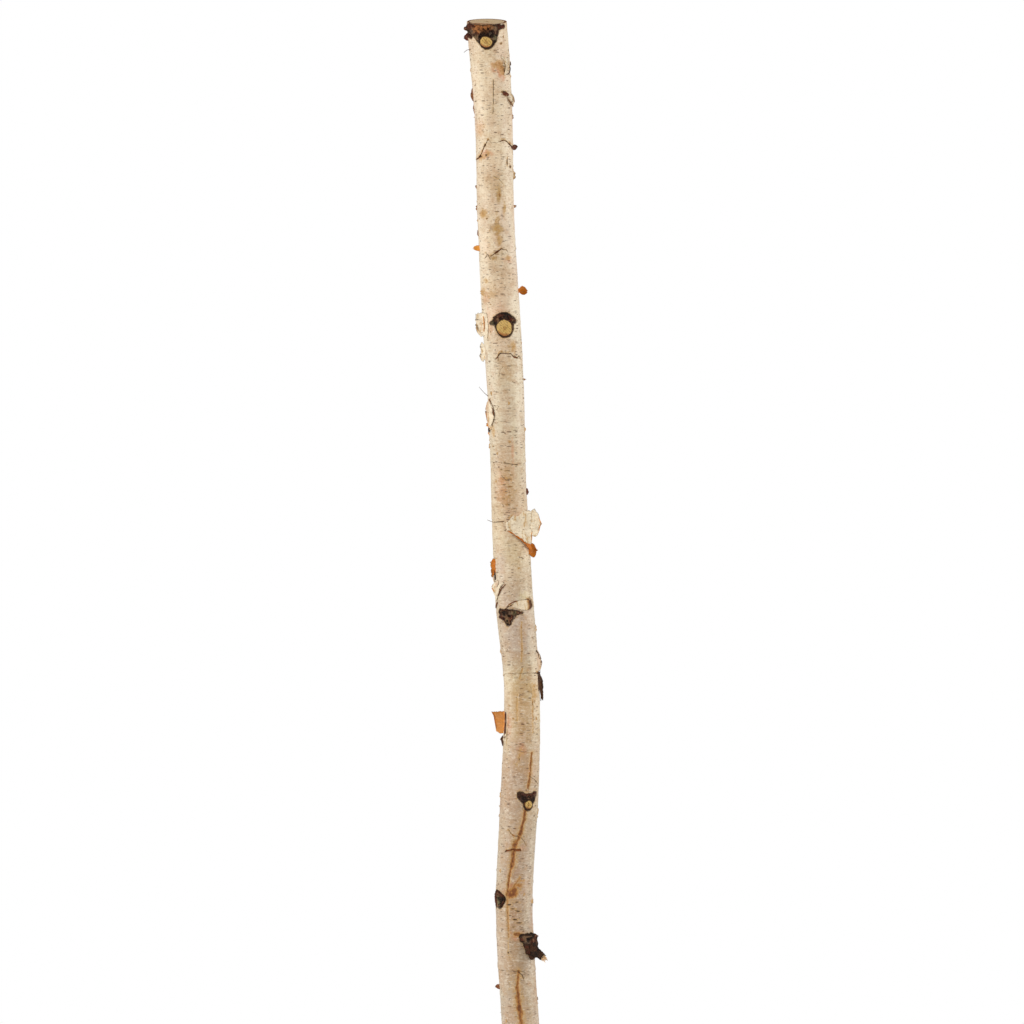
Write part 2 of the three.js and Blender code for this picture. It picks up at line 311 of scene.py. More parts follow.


# ---- what the bark shows
# The bark's colour up the stem: height, colour at its pale places, and a darker colour that serves both for
# its weathered places and for a painted shade down its front.
GROUND = [
    (0, srgb(204, 188, 164), srgb(190, 168, 140)),
    (311, srgb(204, 189, 165), srgb(190, 170, 142)),
    (342, srgb(203, 186, 161), srgb(183, 154, 122)),
    (420, srgb(198, 182, 157), srgb(177, 149, 117)),
    (480, srgb(206, 192, 169), srgb(177, 144, 117)),
    (526, srgb(198, 180, 152), srgb(184, 158, 131)),
    (595, srgb(206, 186, 157), srgb(194, 165, 134)),
    (650, srgb(222, 204, 170), srgb(216, 186, 146)),
    (694, srgb(233, 217, 183), srgb(220, 197, 153)),
    (751, srgb(216, 201, 176), srgb(204, 186, 159)),
    (818, srgb(218, 204, 176), srgb(204, 181, 147)),
    (866, srgb(231, 212, 178), srgb(229, 209, 171)),
    (937, srgb(224, 206, 175), srgb(207, 176, 134)),
    (984, srgb(227, 212, 182), srgb(214, 187, 147)),
    (1030, srgb(231, 218, 192), srgb(223, 205, 170)),
    (1120, srgb(238, 226, 200), srgb(234, 212, 178)),
    (1190, srgb(245, 229, 200), srgb(240, 214, 178)),
    (1258, srgb(238, 221, 194), srgb(241, 218, 180)),
    (1388, srgb(243, 227, 199), srgb(242, 221, 186)),
    (1440, srgb(240, 222, 192), srgb(238, 216, 180)),
    (1500, srgb(238, 220, 190), srgb(236, 214, 178)),
]
DEEP_RUST = srgb(116, 62, 26)
RUST = srgb(146, 82, 30)
MIDDLE_RUST = srgb(184, 122, 52)
PALE_RUST = srgb(208, 168, 104)
DARK = srgb(58, 34, 20)

# Cracks and seeping lines: points of azimuth in degrees and height, then half width, depth and rust.
CRACKS = [
    ([(6, 1431), (3, 1411), (-1, 1390)], 0.35, 0.15, 0.35),
    ([(-3, 1314), (12, 1311), (29, 1304)], 0.4, 0.2, 0.5),
    ([(16, 779), (12, 765), (11, 755), (8, 742), (5, 731)], 0.7, 0.25, 0.55),
    ([(4, 722), (-2, 716), (-5, 711)], 1.0, 0.35, 0.5),
    ([(36, 688), (37, 667), (37, 645)], 0.8, 0.3, 0.55),
    ([(34, 620), (31, 600), (29, 588), (24, 575)], 1.0, 0.5, 0.95),
    ([(-14, 692), (-17, 676), (-16, 659)], 0.8, 0.2, 0.5),
    ([(20, 551), (17, 541), (11, 526), (6, 519), (-1, 513)], 1.3, 0.6, 1.0),
    ([(-1, 513), (-5, 508), (-7, 501), (-9, 492), (-13, 483)], 1.9, 0.7, 1.0),
    ([(-13, 483), (-17, 474), (-20, 462), (-22, 449)], 1.0, 0.6, 1.0),
    ([(-22, 449), (-22, 430), (-20, 409), (-19, 398)], 1.1, 0.4, 0.65),
    ([(-29, 528), (-20, 523), (-8, 520), (12, 520)], 0.9, 0.35, 0.45),
    ([(12, 517), (22, 513), (30, 509)], 0.4, 0.25, 0.45),
    ([(-22, 451), (-8, 456), (6, 464), (16, 470)], 0.8, 0.15, 0.75),
    ([(5, 357), (2, 347), (-2, 337)], 1.1, 0.5, 0.9),
    ([(-2, 337), (-1, 327), (0, 319), (2, 301), (4, 280), (2, 262)], 1.8, 0.6, 1.0),
    ([(9, 353), (19, 348)], 0.7, 0.3, 0.5),
    ([(-20, 403), (-22, 390), (-23, 380)], 0.6, 0.2, 0.4),
    ([(-26, 1314), (-29, 1240), (-30, 1180)], 0.3, 0.12, 0.2),
    ([(165, 1228), (170, 1160), (168, 1100), (174, 1060)], 1.2, 0.5, 0.9),
    ([(-148, 655), (-151, 600), (-146, 540), (-149, 500)], 1.5, 0.6, 1.0),
    ([(-20, 190), (-22, 150), (-18, 110), (-21, 84)], 1.4, 0.6, 1.0),
    ([(96, 1010), (99, 960), (95, 905)], 0.8, 0.3, 0.7),
    ([(-100, 930), (-103, 860), (-99, 800)], 0.8, 0.3, 0.6),
    ([(120, 420), (117, 330), (121, 260)], 0.9, 0.4, 0.8),
    ([(60, 200), (57, 140), (63, 70)], 0.8, 0.3, 0.6),
]
# Rust and bare patches: azimuth in degrees, height, half width, half height, strength.
STAINS = [
    (28, 1448, 8, 5, 1.0), (35, 1443, 5, 8, 1.0), (14, 1450, 6, 2, 0.7), (-22, 1341, 5, 4, 0.9),
    (-50, 1337, 6, 4, 0.9), (-48, 1373, 8, 12, 0.45), (-30, 1366, 6, 9, 0.3), (13, 1296, 3, 10, 0.75),
    (14, 1292, 2, 4, 1.1), (30, 1279, 1.6, 8, 0.85), (3, 1262, 3.2, 7, 0.8), (4, 1252, 5.5, 4, 1.0),
    (8, 1238, 3.5, 6, 0.75), (-41, 1269, 5, 4.4, 1.0), (-33, 1266, 3.5, 3.5, 0.8), (-4, 1244, 3, 3, 0.5),
    (36, 1217, 4, 2.4, 0.75), (-48, 1189, 6, 3, 0.75), (-36, 1188, 4, 1.5, 0.7), (-62, 1177, 5, 6, 0.7),
    (28, 1111, 5, 6, 0.5), (-46, 1128, 3, 9, 0.5), (-21, 1160, 3, 5, 0.3), (-50, 1008, 3, 6, 0.85),
    (-20, 953, 9, 8, 0.4), (-9, 933, 10, 11, 0.38), (-26, 921, 4, 12, 0.4), (4, 905, 4, 4, 0.8),
    (-10, 766, 3, 3, 0.25), (41, 699, 7, 8, 0.75), (47, 690, 4, 6, 0.6), (-70, 648, 4, 10, 0.6),
    (-2, 622, 4, 4, 0.7), (-6, 615, 2, 6, 0.95), (5, 618, 3, 3, 0.5), (-12, 449, 6, 3.2, 2.4),
    (-2, 454, 6, 3.4, 2.0), (9, 461, 6, 2.8, 1.5), (20, 466, 5, 1.8, 1.0), (-8, 441, 5, 3, 0.5),
    (-16, 607, 4, 2.5, 0.6), (-3, 604, 5, 4, 0.35), (9, 401, 5.5, 2.6, 1.8), (20, 399, 3, 3, 1.0),
    (-24, 372, 4, 6, 0.4), (-22, 343, 5, 9, 0.35), (4, 330, 6, 16, 0.35), (16, 503, 3, 3, 0.4),
    (-10, 500, 9, 2, 0.5), (150, 1330, 9, 6, 0.7), (-120, 1290, 6, 5, 0.6), (175, 1010, 9, 9, 0.7),
    (105, 860, 6, 8, 0.7), (-140, 760, 8, 5, 0.6), (140, 540, 8, 9, 0.8), (-90, 420, 5, 6, 0.5),
    (170, 300, 9, 6, 0.6), (35, 120, 9, 9, 0.7), (-60, 60, 7, 4, 0.5), (100, 1180, 5, 6, 0.5),
    (-170, 1420, 6, 5, 0.6),
]
# Bare patches with a colour of their own: azimuth, height, half width, half height, strength, colour.
SALMON = srgb(216, 142, 96)
GOLD = srgb(190, 138, 58)
OLIVE = srgb(172, 132, 62)
LILAC = srgb(196, 172, 158)
FOX = srgb(184, 94, 44)
BUTTER = srgb(240, 224, 176)
PATCHES = [
    (14, 1449, 7, 2.2, 0.6, SALMON), (27, 1446, 7, 6, 0.95, SALMON), (32, 1438, 5, 7, 0.9, SALMON),
    (-52, 1372, 7, 9, 0.45, SALMON), (-24, 1342, 7, 3.5, 0.8, SALMON), (-42, 1338, 7, 3, 0.6, SALMON),
    (-43, 1270, 5.5, 5, 0.8, GOLD), (11, 1292, 3.6, 9, 0.8, OLIVE), (26, 1276, 2.0, 9, 0.75, GOLD),
    (3, 1251, 6, 6, 0.85, OLIVE), (5, 1238, 4, 8, 0.65, GOLD), (-10, 952, 7, 3, 0.85, GOLD),
    (-22, 935, 8, 13, 0.5, SALMON), (17, 985, 1.6, 18, 0.5, SALMON), (-12, 1217, 7, 2.6, 0.9, OLIVE),
    (2, 1222, 6, 2.0, 0.7, OLIVE), (34, 1215, 6, 3.4, 0.7, SALMON), (-20, 1178, 11, 9, 0.3, GOLD),
    (-52, 1168, 5, 8, 0.5, SALMON), (-30, 1172, 7, 4, 0.5, GOLD), (-14, 1150, 14, 8, 0.3, SALMON),
    (31, 1109, 4.5, 7, 0.95, GOLD), (-40, 1132, 5, 9, 0.45, SALMON), (-10, 935, 11, 12, 0.35, OLIVE),
    (-18, 948, 6, 9, 0.5, SALMON), (14, 862, 9, 14, 0.3, OLIVE), (-40, 850, 8, 12, 0.4, LILAC),
    (-10, 790, 16, 14, 0.4, LILAC), (-20, 765, 14, 30, 0.35, LILAC), (-6, 650, 10, 12, 0.4, OLIVE),
    (-50, 656, 4, 12, 0.8, SALMON), (-12, 620, 8, 12, 0.4, LILAC), (2, 625, 5, 6, 0.7, SALMON),
    (30, 598, 3.5, 7, 0.6, SALMON), (44, 692, 3.5, 8, 0.8, GOLD), (-22, 578, 12, 30, 0.35, LILAC),
    (-10, 452, 9, 5, 0.7, GOLD), (12, 398, 8, 5, 0.7, SALMON), (-40, 300, 9, 30, 0.3, LILAC),
    (20, 300, 10, 24, 0.3, GOLD), (8, 505, 8, 4, 0.4, SALMON), (36, 808, 8, 6, 0.7, BUTTER),
    (0, 690, 10, 30, 0.3, OLIVE), (22, 672, 5, 40, 0.3, OLIVE), (-20, 690, 7, 16, 0.3, GOLD),
    (-6, 1310, 12, 14, 0.25, GOLD), (10, 1080, 9, 12, 0.35, GOLD), (-8, 452, 9, 4, 0.8, FOX),
    (7, 460, 8, 3, 0.65, FOX), (17, 466, 5, 1.8, 0.55, FOX), (5, 401, 6, 2.4, 0.85, FOX),
    (-160, 1300, 12, 20, 0.4, SALMON), (150, 1000, 12, 22, 0.4, GOLD), (-120, 700, 12, 24, 0.4, LILAC),
    (100, 400, 12, 24, 0.4, SALMON),
]
# Small dark spots, in the same way as the stains.
SPOTS = [
    (38, 1475, 1.4, 1.3, 0.95), (36, 1416, 3.6, 1.3, 1.0), (41, 1413, 2.2, 2.0, 1.0),
    (43, 1442, 1.0, 3.5, 0.9), (-29, 1352, 1.3, 2.0, 0.9), (-26, 1340, 2.0, 1.9, 0.85),
    (-52, 1338, 3.2, 1.6, 0.9), (57, 1326, 1.8, 1.8, 1.0), (43, 1331, 1.3, 5.0, 0.95),
    (-29, 1264, 1.5, 1.5, 0.9), (14, 1292, 1.5, 3, 0.6), (8, 1260, 1.0, 3, 0.35), (-38, 1128, 1.2, 3, 0.5),
    (-14, 1118, 2.2, 1.0, 0.45), (16, 703, 1.0, 1.0, 0.8), (-9, 936, 3, 1.0, 0.6), (2, 931, 2, 0.9, 0.6),
    (-55, 640, 1.0, 12, 0.75), (-5, 613, 1.6, 3.0, 0.5), (30, 696, 1.2, 7, 0.4), (22, 473, 2, 1.0, 0.5),
    (-74, 350, 0.8, 8, 0.7), (-22, 962, 3.5, 0.9, 0.6), (-6, 961, 3, 0.8, 0.5), (10, 956, 3, 0.9, 0.55),
    (-14, 944, 4, 1.0, 0.7), (6, 942, 3, 0.9, 0.6), (18, 937, 3, 0.8, 0.5), (-18, 927, 3, 0.9, 0.6),
    (-4, 920, 4, 1.0, 0.6), (12, 915, 3, 0.8, 0.5), (-24, 910, 3, 0.8, 0.5), (-14, 437, 3.5, 1.1, 0.85),
    (8, 440, 3, 1.0, 0.7), (-3, 432, 3, 1.1, 0.85), (12, 429, 3.5, 1.0, 0.8), (-12, 424, 3, 1.0, 0.7),
    (2, 419, 3.5, 1.0, 0.8), (14, 415, 4, 1.0, 0.8), (-4, 410, 3, 0.9, 0.7), (7, 401, 5, 1.8, 0.45),
    (-24, 379, 1.3, 2.0, 0.8), (150, 1215, 2, 2, 0.8), (-120, 1150, 3, 1.5, 0.8), (175, 890, 2, 3, 0.8),
    (-160, 480, 2, 2, 0.8), (110, 300, 3, 1.5, 0.8), (-40, 150, 2, 2, 0.8), (30, 40, 3, 1.5, 0.7),
]
# Thin dark lines: points of azimuth in degrees and height, then half width and strength.
HAIRLINES = [
    ([(6, 1431), (3, 1411), (-1, 1390)], 0.5, 0.95),
    ([(-3, 1315), (12, 1312), (25, 1306)], 0.5, 0.75),
    ([(-36, 1334), (-37, 1315), (-35, 1297)], 0.4, 0.45),
    ([(-28, 1325), (-27, 1300), (-30, 1280)], 0.3, 0.3),
    ([(33, 1330), (35, 1300), (33, 1270)], 0.35, 0.35),
    ([(-38, 1223), (-31, 1220), (-24, 1215)], 0.7, 0.9),
    ([(-52, 1163), (-34, 1158), (-14, 1160)], 0.5, 0.5),
    ([(-60, 1176), (-50, 1170), (-40, 1171)], 0.5, 0.45),
    ([(56, 1142), (62, 1134), (74, 1123), (78, 1112)], 0.6, 0.7),
    ([(-8, 1115), (2, 1117), (10, 1114)], 0.55, 0.55),
    ([(32, 1100), (42, 1096), (52, 1099), (66, 1094)], 0.7, 0.9),
    ([(-17, 1098), (-18, 1093)], 0.7, 0.7),
    ([(23, 1088), (34, 1088), (47, 1085)], 0.5, 0.7),
    ([(-4, 1086), (-14, 1082), (-19, 1073)], 0.45, 0.6),
    ([(-12, 1061), (2, 1057), (12, 1059)], 0.4, 0.4),
    ([(-30, 1040), (-26, 1022), (-31, 1005)], 0.35, 0.35),
    ([(-12, 971), (10, 969), (34, 968)], 0.6, 0.9),
    ([(-22, 955), (-10, 950), (2, 949)], 0.8, 0.6),
    ([(-24, 830), (-4, 806), (6, 800)], 0.4, 0.4),
    ([(-30, 803), (-14, 812), (2, 818)], 0.4, 0.45),
    ([(36, 760), (38, 742), (40, 722)], 0.35, 0.4),
    ([(-42, 716), (-20, 717), (10, 717), (44, 716)], 0.4, 0.5),
    ([(-29, 528), (-20, 523), (-8, 520), (12, 520)], 0.6, 0.9),
    ([(12, 518), (22, 514), (31, 508)], 0.6, 0.8),
    ([(30, 592), (48, 588), (70, 582)], 0.6, 0.85),
    ([(-74, 357), (-40, 357), (0, 356), (30, 357)], 0.45, 0.55),
    ([(5, 356), (16, 352), (20, 347)], 0.7, 0.8),
    ([(8, 447), (16, 437), (30, 433)], 0.35, 0.3),
    ([(-79, 669), (-78, 655), (-80, 639)], 0.8, 0.9),
    ([(120, 1400), (123, 1370), (118, 1340)], 0.5, 0.6),
    ([(-150, 1130), (-147, 1090), (-152, 1050)], 0.5, 0.6),
    ([(95, 640), (99, 600), (96, 570)], 0.5, 0.6),
    ([(-120, 400), (-117, 350), (-122, 300)], 0.5, 0.6),
    ([(160, 220), (163, 160), (158, 110)], 0.6, 0.7),
]
# The torn edges round the stem, counted from the foot. Each is a row of azimuth in degrees, how far it
# lies over the seam's own height, the gap that it leaves and how far the upper edge stands up.
SEAM_EDGES = {
    1: [(-150, 2, 0, 0), (-80, -4, 0.8, 0.7), (-30, 3, 1.4, 1.2), (20, 1, 0.2, 0.1), (90, -3, 1.0, 0.9),
        (140, 2, 0, 0)],
    2: [(-170, 1, 0, 0), (-95, 6, 0.9, 0.8), (-76, 0, 0.5, 0.5), (-40, -1, 0, 0), (-23, -1, 0.1, 0.1),
        (5, 0, 0.5, 0.3), (22, -1, 0.4, 0.3), (30, -4, 0, 0), (110, 2, 0.8, 1.0)],
    3: [(-170, 3, 0.6, 0.5), (-90, -4, 0, 0), (-42, -2, 0, 0), (-34, 0, 1.2, 0.8), (-12, 2.5, 2.2, 1.3),
        (12, 3, 1.9, 1.2), (17, 2, 0, 0), (80, -2, 0, 0), (130, 2, 0.9, 0.9)],
    4: [(-160, -2, 0.9, 0.9), (-84, 6, 0.8, 0.7), (-50, 2, 0, 0), (-20, -3, 0.2, 0.1), (10, -6, 0.3, 0.2),
        (40, -2, 0, 0), (100, 3, 0.8, 0.7)],
    5: [(-160, 3, 0, 0), (-78, -4, 0.7, 0.7), (-60, 0, 0.2, 0.2), (-10, 0, 0.3, 0.2), (30, 0, 0.3, 0.3),
        (66, -1, 0.8, 0.9), (85, 10, 1.0, 1.0), (140, 2, 0, 0)],
    6: [(-170, 2, 0.7, 0.7), (-80, -8, 0, 0), (-50, -7, 0, 0), (-30, -3, 0.6, 0.5), (-12, 3, 0.8, 0.7),
        (5, 5, 0.3, 0.3), (30, 9, 0.2, 0.2), (50, 9, 0.9, 0.8), (62, 2, 0.2, 0.2), (120, -2, 0, 0)],
    7: [(-160, 4, 0.8, 0.8), (-60, 2, 0, 0), (-24, 0, 0.2, 0), (-16, -9, 0.9, 0.4), (3, -12, 1.6, 0.8),
        (28, -18, 2.2, 0.9), (56, -24, 2.2, 0.9), (85, -27, 1.5, 0.8), (110, -8, 0.4, 0.4)],
    8: [(-160, -2, 0, 0), (-63, 2, 0.2, 0.1), (-20, 1, 0.25, 0.15), (20, 0, 0.25, 0.15), (60, -1, 0, 0),
        (110, 3, 1.0, 1.0)],
    9: [(-160, 3, 0.8, 0.8), (-70, -2, 0, 0), (-27, -7, 0, 0), (-21, -6, 0.9, 0.9), (-15, -1, 1.0, 1.0),
        (-9, 0.5, 0.8, 0.7), (24, 0.5, 0.8, 0.6), (30, -3, 1.2, 0.9), (48, -5, 1.0, 0.8), (70, -4, 0.2, 0.2)],
    10: [(-160, -3, 0.2, 0.2), (-70, -6, 0, 0), (-45, -9, 0.2, 0.2), (-40, -7, 0.9, 0.8), (-33, -3, 0.2, 0),
         (-22, -7, 0.6, 0.6), (-8, -2, 1.5, 1.0), (6, 1, 1.4, 0.9), (14, 3, 0.7, 0.5), (30, 0.5, 0.7, 0.5),
         (36, -2, 0, 0), (100, 2, 0.8, 0.7)],
    11: [(-160, 3, 0, 0), (-85, -22, 0.5, 0.5), (-57, -19, 1.2, 0.8), (-40, -11, 0.8, 0.6),
         (-22, 2, 0.8, 0.9), (-15, 3, 0.4, 0.5), (-8, -1, 0.2, 0.2), (6, -1, 0.2, 0.2), (14, 2, 0.5, 0.6),
         (25, 4, 0.8, 0.9), (45, 0, 0.7, 1.0), (75, -6, 1.2, 1.2), (110, -2, 0, 0)],
}
LIP_REACH = 3.5  # how far from a torn edge the bark begins to lift
SEAM_HEIGHTS = [
    (float(corners(low)[:, 2].max()) + float(corners(high)[:, 2].min())) / 2
    for low, high in zip(SHEETS, SHEETS[1:])
]


def seam_edge(number, azimuth):
    """A torn edge's height, gap and lift, at each azimuth."""
    rows = np.array(SEAM_EDGES[number], float)
    degrees = np.degrees(azimuth)
    drop, gap, lift = (np.interp(degrees, rows[:, 0], rows[:, c], period=360) for c in (1, 2, 3))
    height = SEAM_HEIGHTS[number - 1] + drop
    place = round_stem(azimuth, height)
    height = height + 1.5 * noise(place, (9, 9, 9), 60 + number, 4)
    gap = np.maximum(gap * (0.9 + 0.8 * noise(place, (4, 4, 4), 80 + number, 3)), 0)
    return height, gap, lift * (1 + 0.3 * noise(place, (6, 6, 6), 90 + number, 2))


def line_distance(azimuth, height, line):
    """How far each place is from a line of azimuths and heights, measured on the bark."""
    best = np.full(np.shape(azimuth), 1e9)
    for (a0, h0), (a1, h1) in zip(line, line[1:]):
        start = math.radians(a0)
        across = turn(azimuth - start) * MEAN_RADIUS
        up = height - h0
        run = turn(math.radians(a1) - start) * MEAN_RADIUS
        rise = h1 - h0
        share = np.clip((across * run + up * rise) / (run * run + rise * rise), 0, 1)
        best = np.minimum(best, np.hypot(across - share * run, up - share * rise))
    return best


def oval(azimuth, height, degrees, middle, wide, tall):
    """How far each place is from the middle of a mark, as a share of the mark's half width and height."""
    across = turn(azimuth - math.radians(degrees)) * MEAN_RADIUS / wide
    return np.hypot(across, (height - middle) / tall)


class Knot:
    """Where a CAD knot sits, and its local measures: u to the right and v up, on the bark."""

    def __init__(self, name):
        self.name = name
        around, distance, height = place_of(corners(f"{name}_bark"))
        shell = distance > radius(height) - 0.4
        middle = math.atan2(np.sin(around[shell]).mean(), np.cos(around[shell]).mean())
        spread = turn(around[shell] - middle)
        self.azimuth = middle + (spread.min() + spread.max()) / 2
        self.height = float(height[shell].min() + height[shell].max()) / 2
        self.proud = float(np.percentile(distance[shell] - radius(height[shell]), 60))
        self.radius = float(radius(self.height))

    def local(self, azimuth, height):
        """A place in the knot's own measures."""
        return turn(azimuth - self.azimuth) * self.radius, height - self.height

    def place(self, u, v):
        """The azimuth and height of a place in the knot's own measures."""
        return self.azimuth + u / self.radius, self.height + v


def capsules(u, v, lobes):
    """How far each place is outside a knot's lobes, which are strokes from one point to another."""
    best = np.full(np.shape(u), 1e9)
    for u0, v0, u1, v1, thick in lobes:
        run, rise = u1 - u0, v1 - v0
        share = np.clip(((u - u0) * run + (v - v0) * rise) / max(run * run + rise * rise, 1e-9), 0, 1)
        gap = np.hypot(u - u0 - share * run, v - v0 - share * rise) - thick
        best = -np.logaddexp(-best, -gap) if best.min() < 1e8 else gap
    return best


MOSS = srgb(128, 118, 84)
GREY_BARK = srgb(122, 98, 78)
RED_BARK = srgb(100, 42, 24)
BLACK_BARK = srgb(30, 17, 10)
BROWN_BARK = srgb(68, 40, 22)
TAN_BARK = srgb(176, 138, 100)
BARE_WOOD = srgb(192, 122, 66)
# Each knot's rough bark, from its middle: strokes (from u, v to u, v, half width), hollows (u, v, radius,
# depth) and patches of colour (u, v, radius, colour). cut is the sawn branch: u, v, half width and half
# height.
KNOT_LOOKS = {
    "knot_top": dict(
        lobes=[(-12, 9, 8, 9, 7.0), (-24, 14, 20, 14.5, 3.2), (-6, 3, 2, -4, 7.0),
               (2.4, -4.6, 2.6, -5.4, 8.5), (2.8, -8, 2.9, -9.5, 4.6), (13, 8, 9, -3, 5.2),
               (16, 13, 27, 14, 2.6), (-16, 9, -21, 10, 5.2), (-27, 10, -31, 10, 3.4),
               (-20, 1.5, -27, 2.2, 3.0)],
        hollows=[(3, 7.0, 7.5, 2.8), (9, 5, 4.0, 2.0), (-4, 3.5, 3.5, 1.6)],
        bumps=[(-30, 10, 4, 2.6), (-24, 2, 4, 1.6), (22, 14, 4, 1.2), (-14, 10, 5, 1.2), (13, 2, 4, 1.0)],
        patches=[(-13, 10, 6, GREY_BARK), (14.5, 13, 3.6, GREY_BARK), (13, 2.0, 5.0, MOSS),
                 (22, 14, 5, RED_BARK), (-23, 1.5, 5, RED_BARK), (-28, 9, 4.5, RED_BARK),
                 (-6.5, 0, 2.6, GREY_BARK), (-5, 14.5, 10, BARE_WOOD), (6, 15.5, 7, BARE_WOOD),
                 (-11, 1, 2.5, MOSS)],
        cut=(2.4, -4.6, 6.9, 7.2)),
    "knot_upper": dict(
        lobes=[(0.3, 3, 0.3, -3, 11.6), (0.3, -6, 0.6, -10, 6.4), (-11, 2.5, -17, 1.2, 1.9),
               (10, 4.5, 13.5, 3.5, 3.2), (-8, 6, 8, 6, 5)],
        hollows=[(-4, 7, 3.2, 1.0), (5, 7.5, 3.2, 1.0), (0, 9, 2.5, 0.8)],
        patches=[(-4, 8.5, 5, RED_BARK), (6, 6, 4, RED_BARK), (-15, 1, 3, MOSS), (0, 6.5, 2.5, BROWN_BARK)],
        cut=(-0.2, -4.6, 8.9, 9.8)),
    "knot_middle": dict(
        lobes=[(-8, 7, 6, 7, 4.2), (-6, 3, 3, 2.5, 5.6), (-1, -2, 0.6, -5.0, 4.2),
               (-10, 1.2, -12.5, 1.1, 1.3), (-10, 8, -8, 7, 2.5), (8, 7.4, 13, 7, 2.6),
               (13, 7.2, 18.0, 7.2, 1.4)],
        hollows=[(-3, 5, 2.4, 1.4), (3, 3, 2.2, 1.2), (-5, 0, 2.0, 1.2), (0, -3, 1.6, 1.0)],
        bumps=[(-8, 7, 3, 1.2), (0, 8, 3, 1.0), (-4, 2, 3, 1.2)],
        patches=[(9, 6.5, 4, MOSS), (15, 7, 4, RED_BARK), (-4, 3, 3, GREY_BARK), (-1, -2, 2.6, MOSS),
                 (4, 6, 2.4, GREY_BARK)],
        cut=None),
    "knot_lower": dict(
        lobes=[(-9, 6.5, -4, 1, 4.4), (-11.5, 8.6, -10, 7, 2.2), (8.5, 6.5, 5, 0, 4.0),
               (10.5, 8.6, 9, 7, 2.2), (0.4, -4.5, 0.4, -6.5, 5.8), (-4, 2, 4, 1, 5.4),
               (-3, 4.5, 3, 4.5, 3.6)],
        hollows=[(0.8, 4.6, 2.2, 1.2), (-6, 4, 3.8, 0.9), (7.5, 4, 2.2, 0.9)],
        bumps=[(-10, 8, 2.5, 0.8), (10, 8, 2.5, 0.8)],
        patches=[(-6, 4, 5.0, srgb(92, 66, 60)), (8.5, 6, 2.4, GREY_BARK), (-3, -4, 2.4, RUST)],
        cut=(0.4, -5.0, 4.6, 5.0)),
    "knot_side": dict(
        lobes=[(-3, 2, 1, -4, 7.2), (3, 2, 6, -1, 5.2), (-6, 7, -6, 4, 3.2), (-4, -7, 1, -7.5, 4.2),
               (-6, -2, -6, -4, 4.4)],
        hollows=[(1, 0, 2.6, 1.4), (-4, 1, 2.4, 1.2), (5, -4, 2.0, 1.0)],
        bumps=[(-5, 5, 3, 1.2), (3, -6, 3, 1.0), (6, 1, 2.5, 0.8)],
        patches=[(-1, 1, 4.5, MOSS), (2, -4, 3, MOSS), (-1, -9, 2.2, TAN_BARK), (-7, 5, 3, GREY_BARK)],
        cut=None),
    "knot_back_high": dict(
        lobes=[(0, 1, 0, -4, 9.5), (-11, 6, -5, 4, 3.6), (6, 8, 3, 3, 4.4), (11, 2, 7, 0, 2.4),
               (0, -7, 0, -8, 4.6), (-7, 9, -1, 9, 2.6)],
        hollows=[(-1, 6.5, 3.5, 1.4), (-6, 4, 2, 0.8)],
        bumps=[(-9, 5, 3, 1.0), (5, 8, 3, 0.8)],
        patches=[(5, 7, 4, MOSS), (-7, 5, 4, RED_BARK), (9, 2, 3, GREY_BARK)],
        cut=(0, -3.6, 7, 7.8)),
    "knot_back_low": dict(
        lobes=[(0, 0, 0, -4, 8.0), (-7, 7, 2, 6, 3.6), (9, 3, 6, 0, 2.6), (0, -6, 0, -7, 4.6),
               (-11, 5, -8, 5, 1.8)],
        hollows=[(-1, 4.8, 3.0, 1.4), (5, 3, 2, 0.8)],
        bumps=[(-7, 6, 3, 1.0)],
        patches=[(-5, 6, 4, MOSS), (6, 3, 3, GREY_BARK), (0, 8, 2.5, RED_BARK)],
        cut=(0, -4.6, 5.5, 6.0)),
    "knot_foot": dict(
        lobes=[(0, 1, 0, -4, 9.7), (-6, 10, 4, 9, 3.6), (10, 6, 6, 2, 2.8), (0, -8, 0, -9, 4.6),
               (-12, 4, -7, 2, 2.2)],
        hollows=[(0, 7.5, 3.5, 1.4), (6, 4, 2, 0.8)],
        bumps=[(-5, 10, 3, 1.0), (8, 5, 3, 0.8)],
        patches=[(5, 7, 4, MOSS), (-6, 8, 4, RED_BARK), (0, 10, 2, GREY_BARK)],
        cut=(0, -3.6, 7.5, 8.2)),
    "knot_twig": dict(
        lobes=[(-7, 10, 4, 11, 5.2), (-11, 12, -9, 9, 2.6), (-2, 2, 0, -4, 6.4), (0, -6, 2, -10, 4.4),
               (6, 8, 6, -2, 4.6), (10, 13, 11, 12, 2.0)],
        hollows=[(-6, 8, 2.2, 1.0), (-3, 11, 2.0, 0.8)],
        patches=[(-7, 6, 2.6, GREY_BARK), (4, 13, 2.4, RED_BARK), (9, 13.5, 2.2, srgb(214, 180, 170)),
                 (0, -4, 3, BROWN_BARK)],
        cut=None),
}
KNOTS = {name: Knot(name) for name in KNOT_LOOKS}
SHRUNK = 0.3  # how far the visible bark's mean lies under the CAD part's
KNOT_SWELL = 0.9  # how far the bark swells round a knot
KNOT_BED = 1.3  # how far the bark dips under a knot's own rough bark
CRACK_SPREAD = 1.35  # how much wider than its own half width a crack opens
STAIN_SPREAD = 1.3  # how much further than its own size a stain seeps


def knot_edge(name, u, v):
    """How far each place is outside a knot's ragged outline."""
    ragged = noise(np.stack([u, v, np.zeros_like(u)], -1), (3.4, 3.4, 1), 200 + len(name), 3)
    return capsules(u, v, KNOT_LOOKS[name]["lobes"]) + 0.9 * ragged


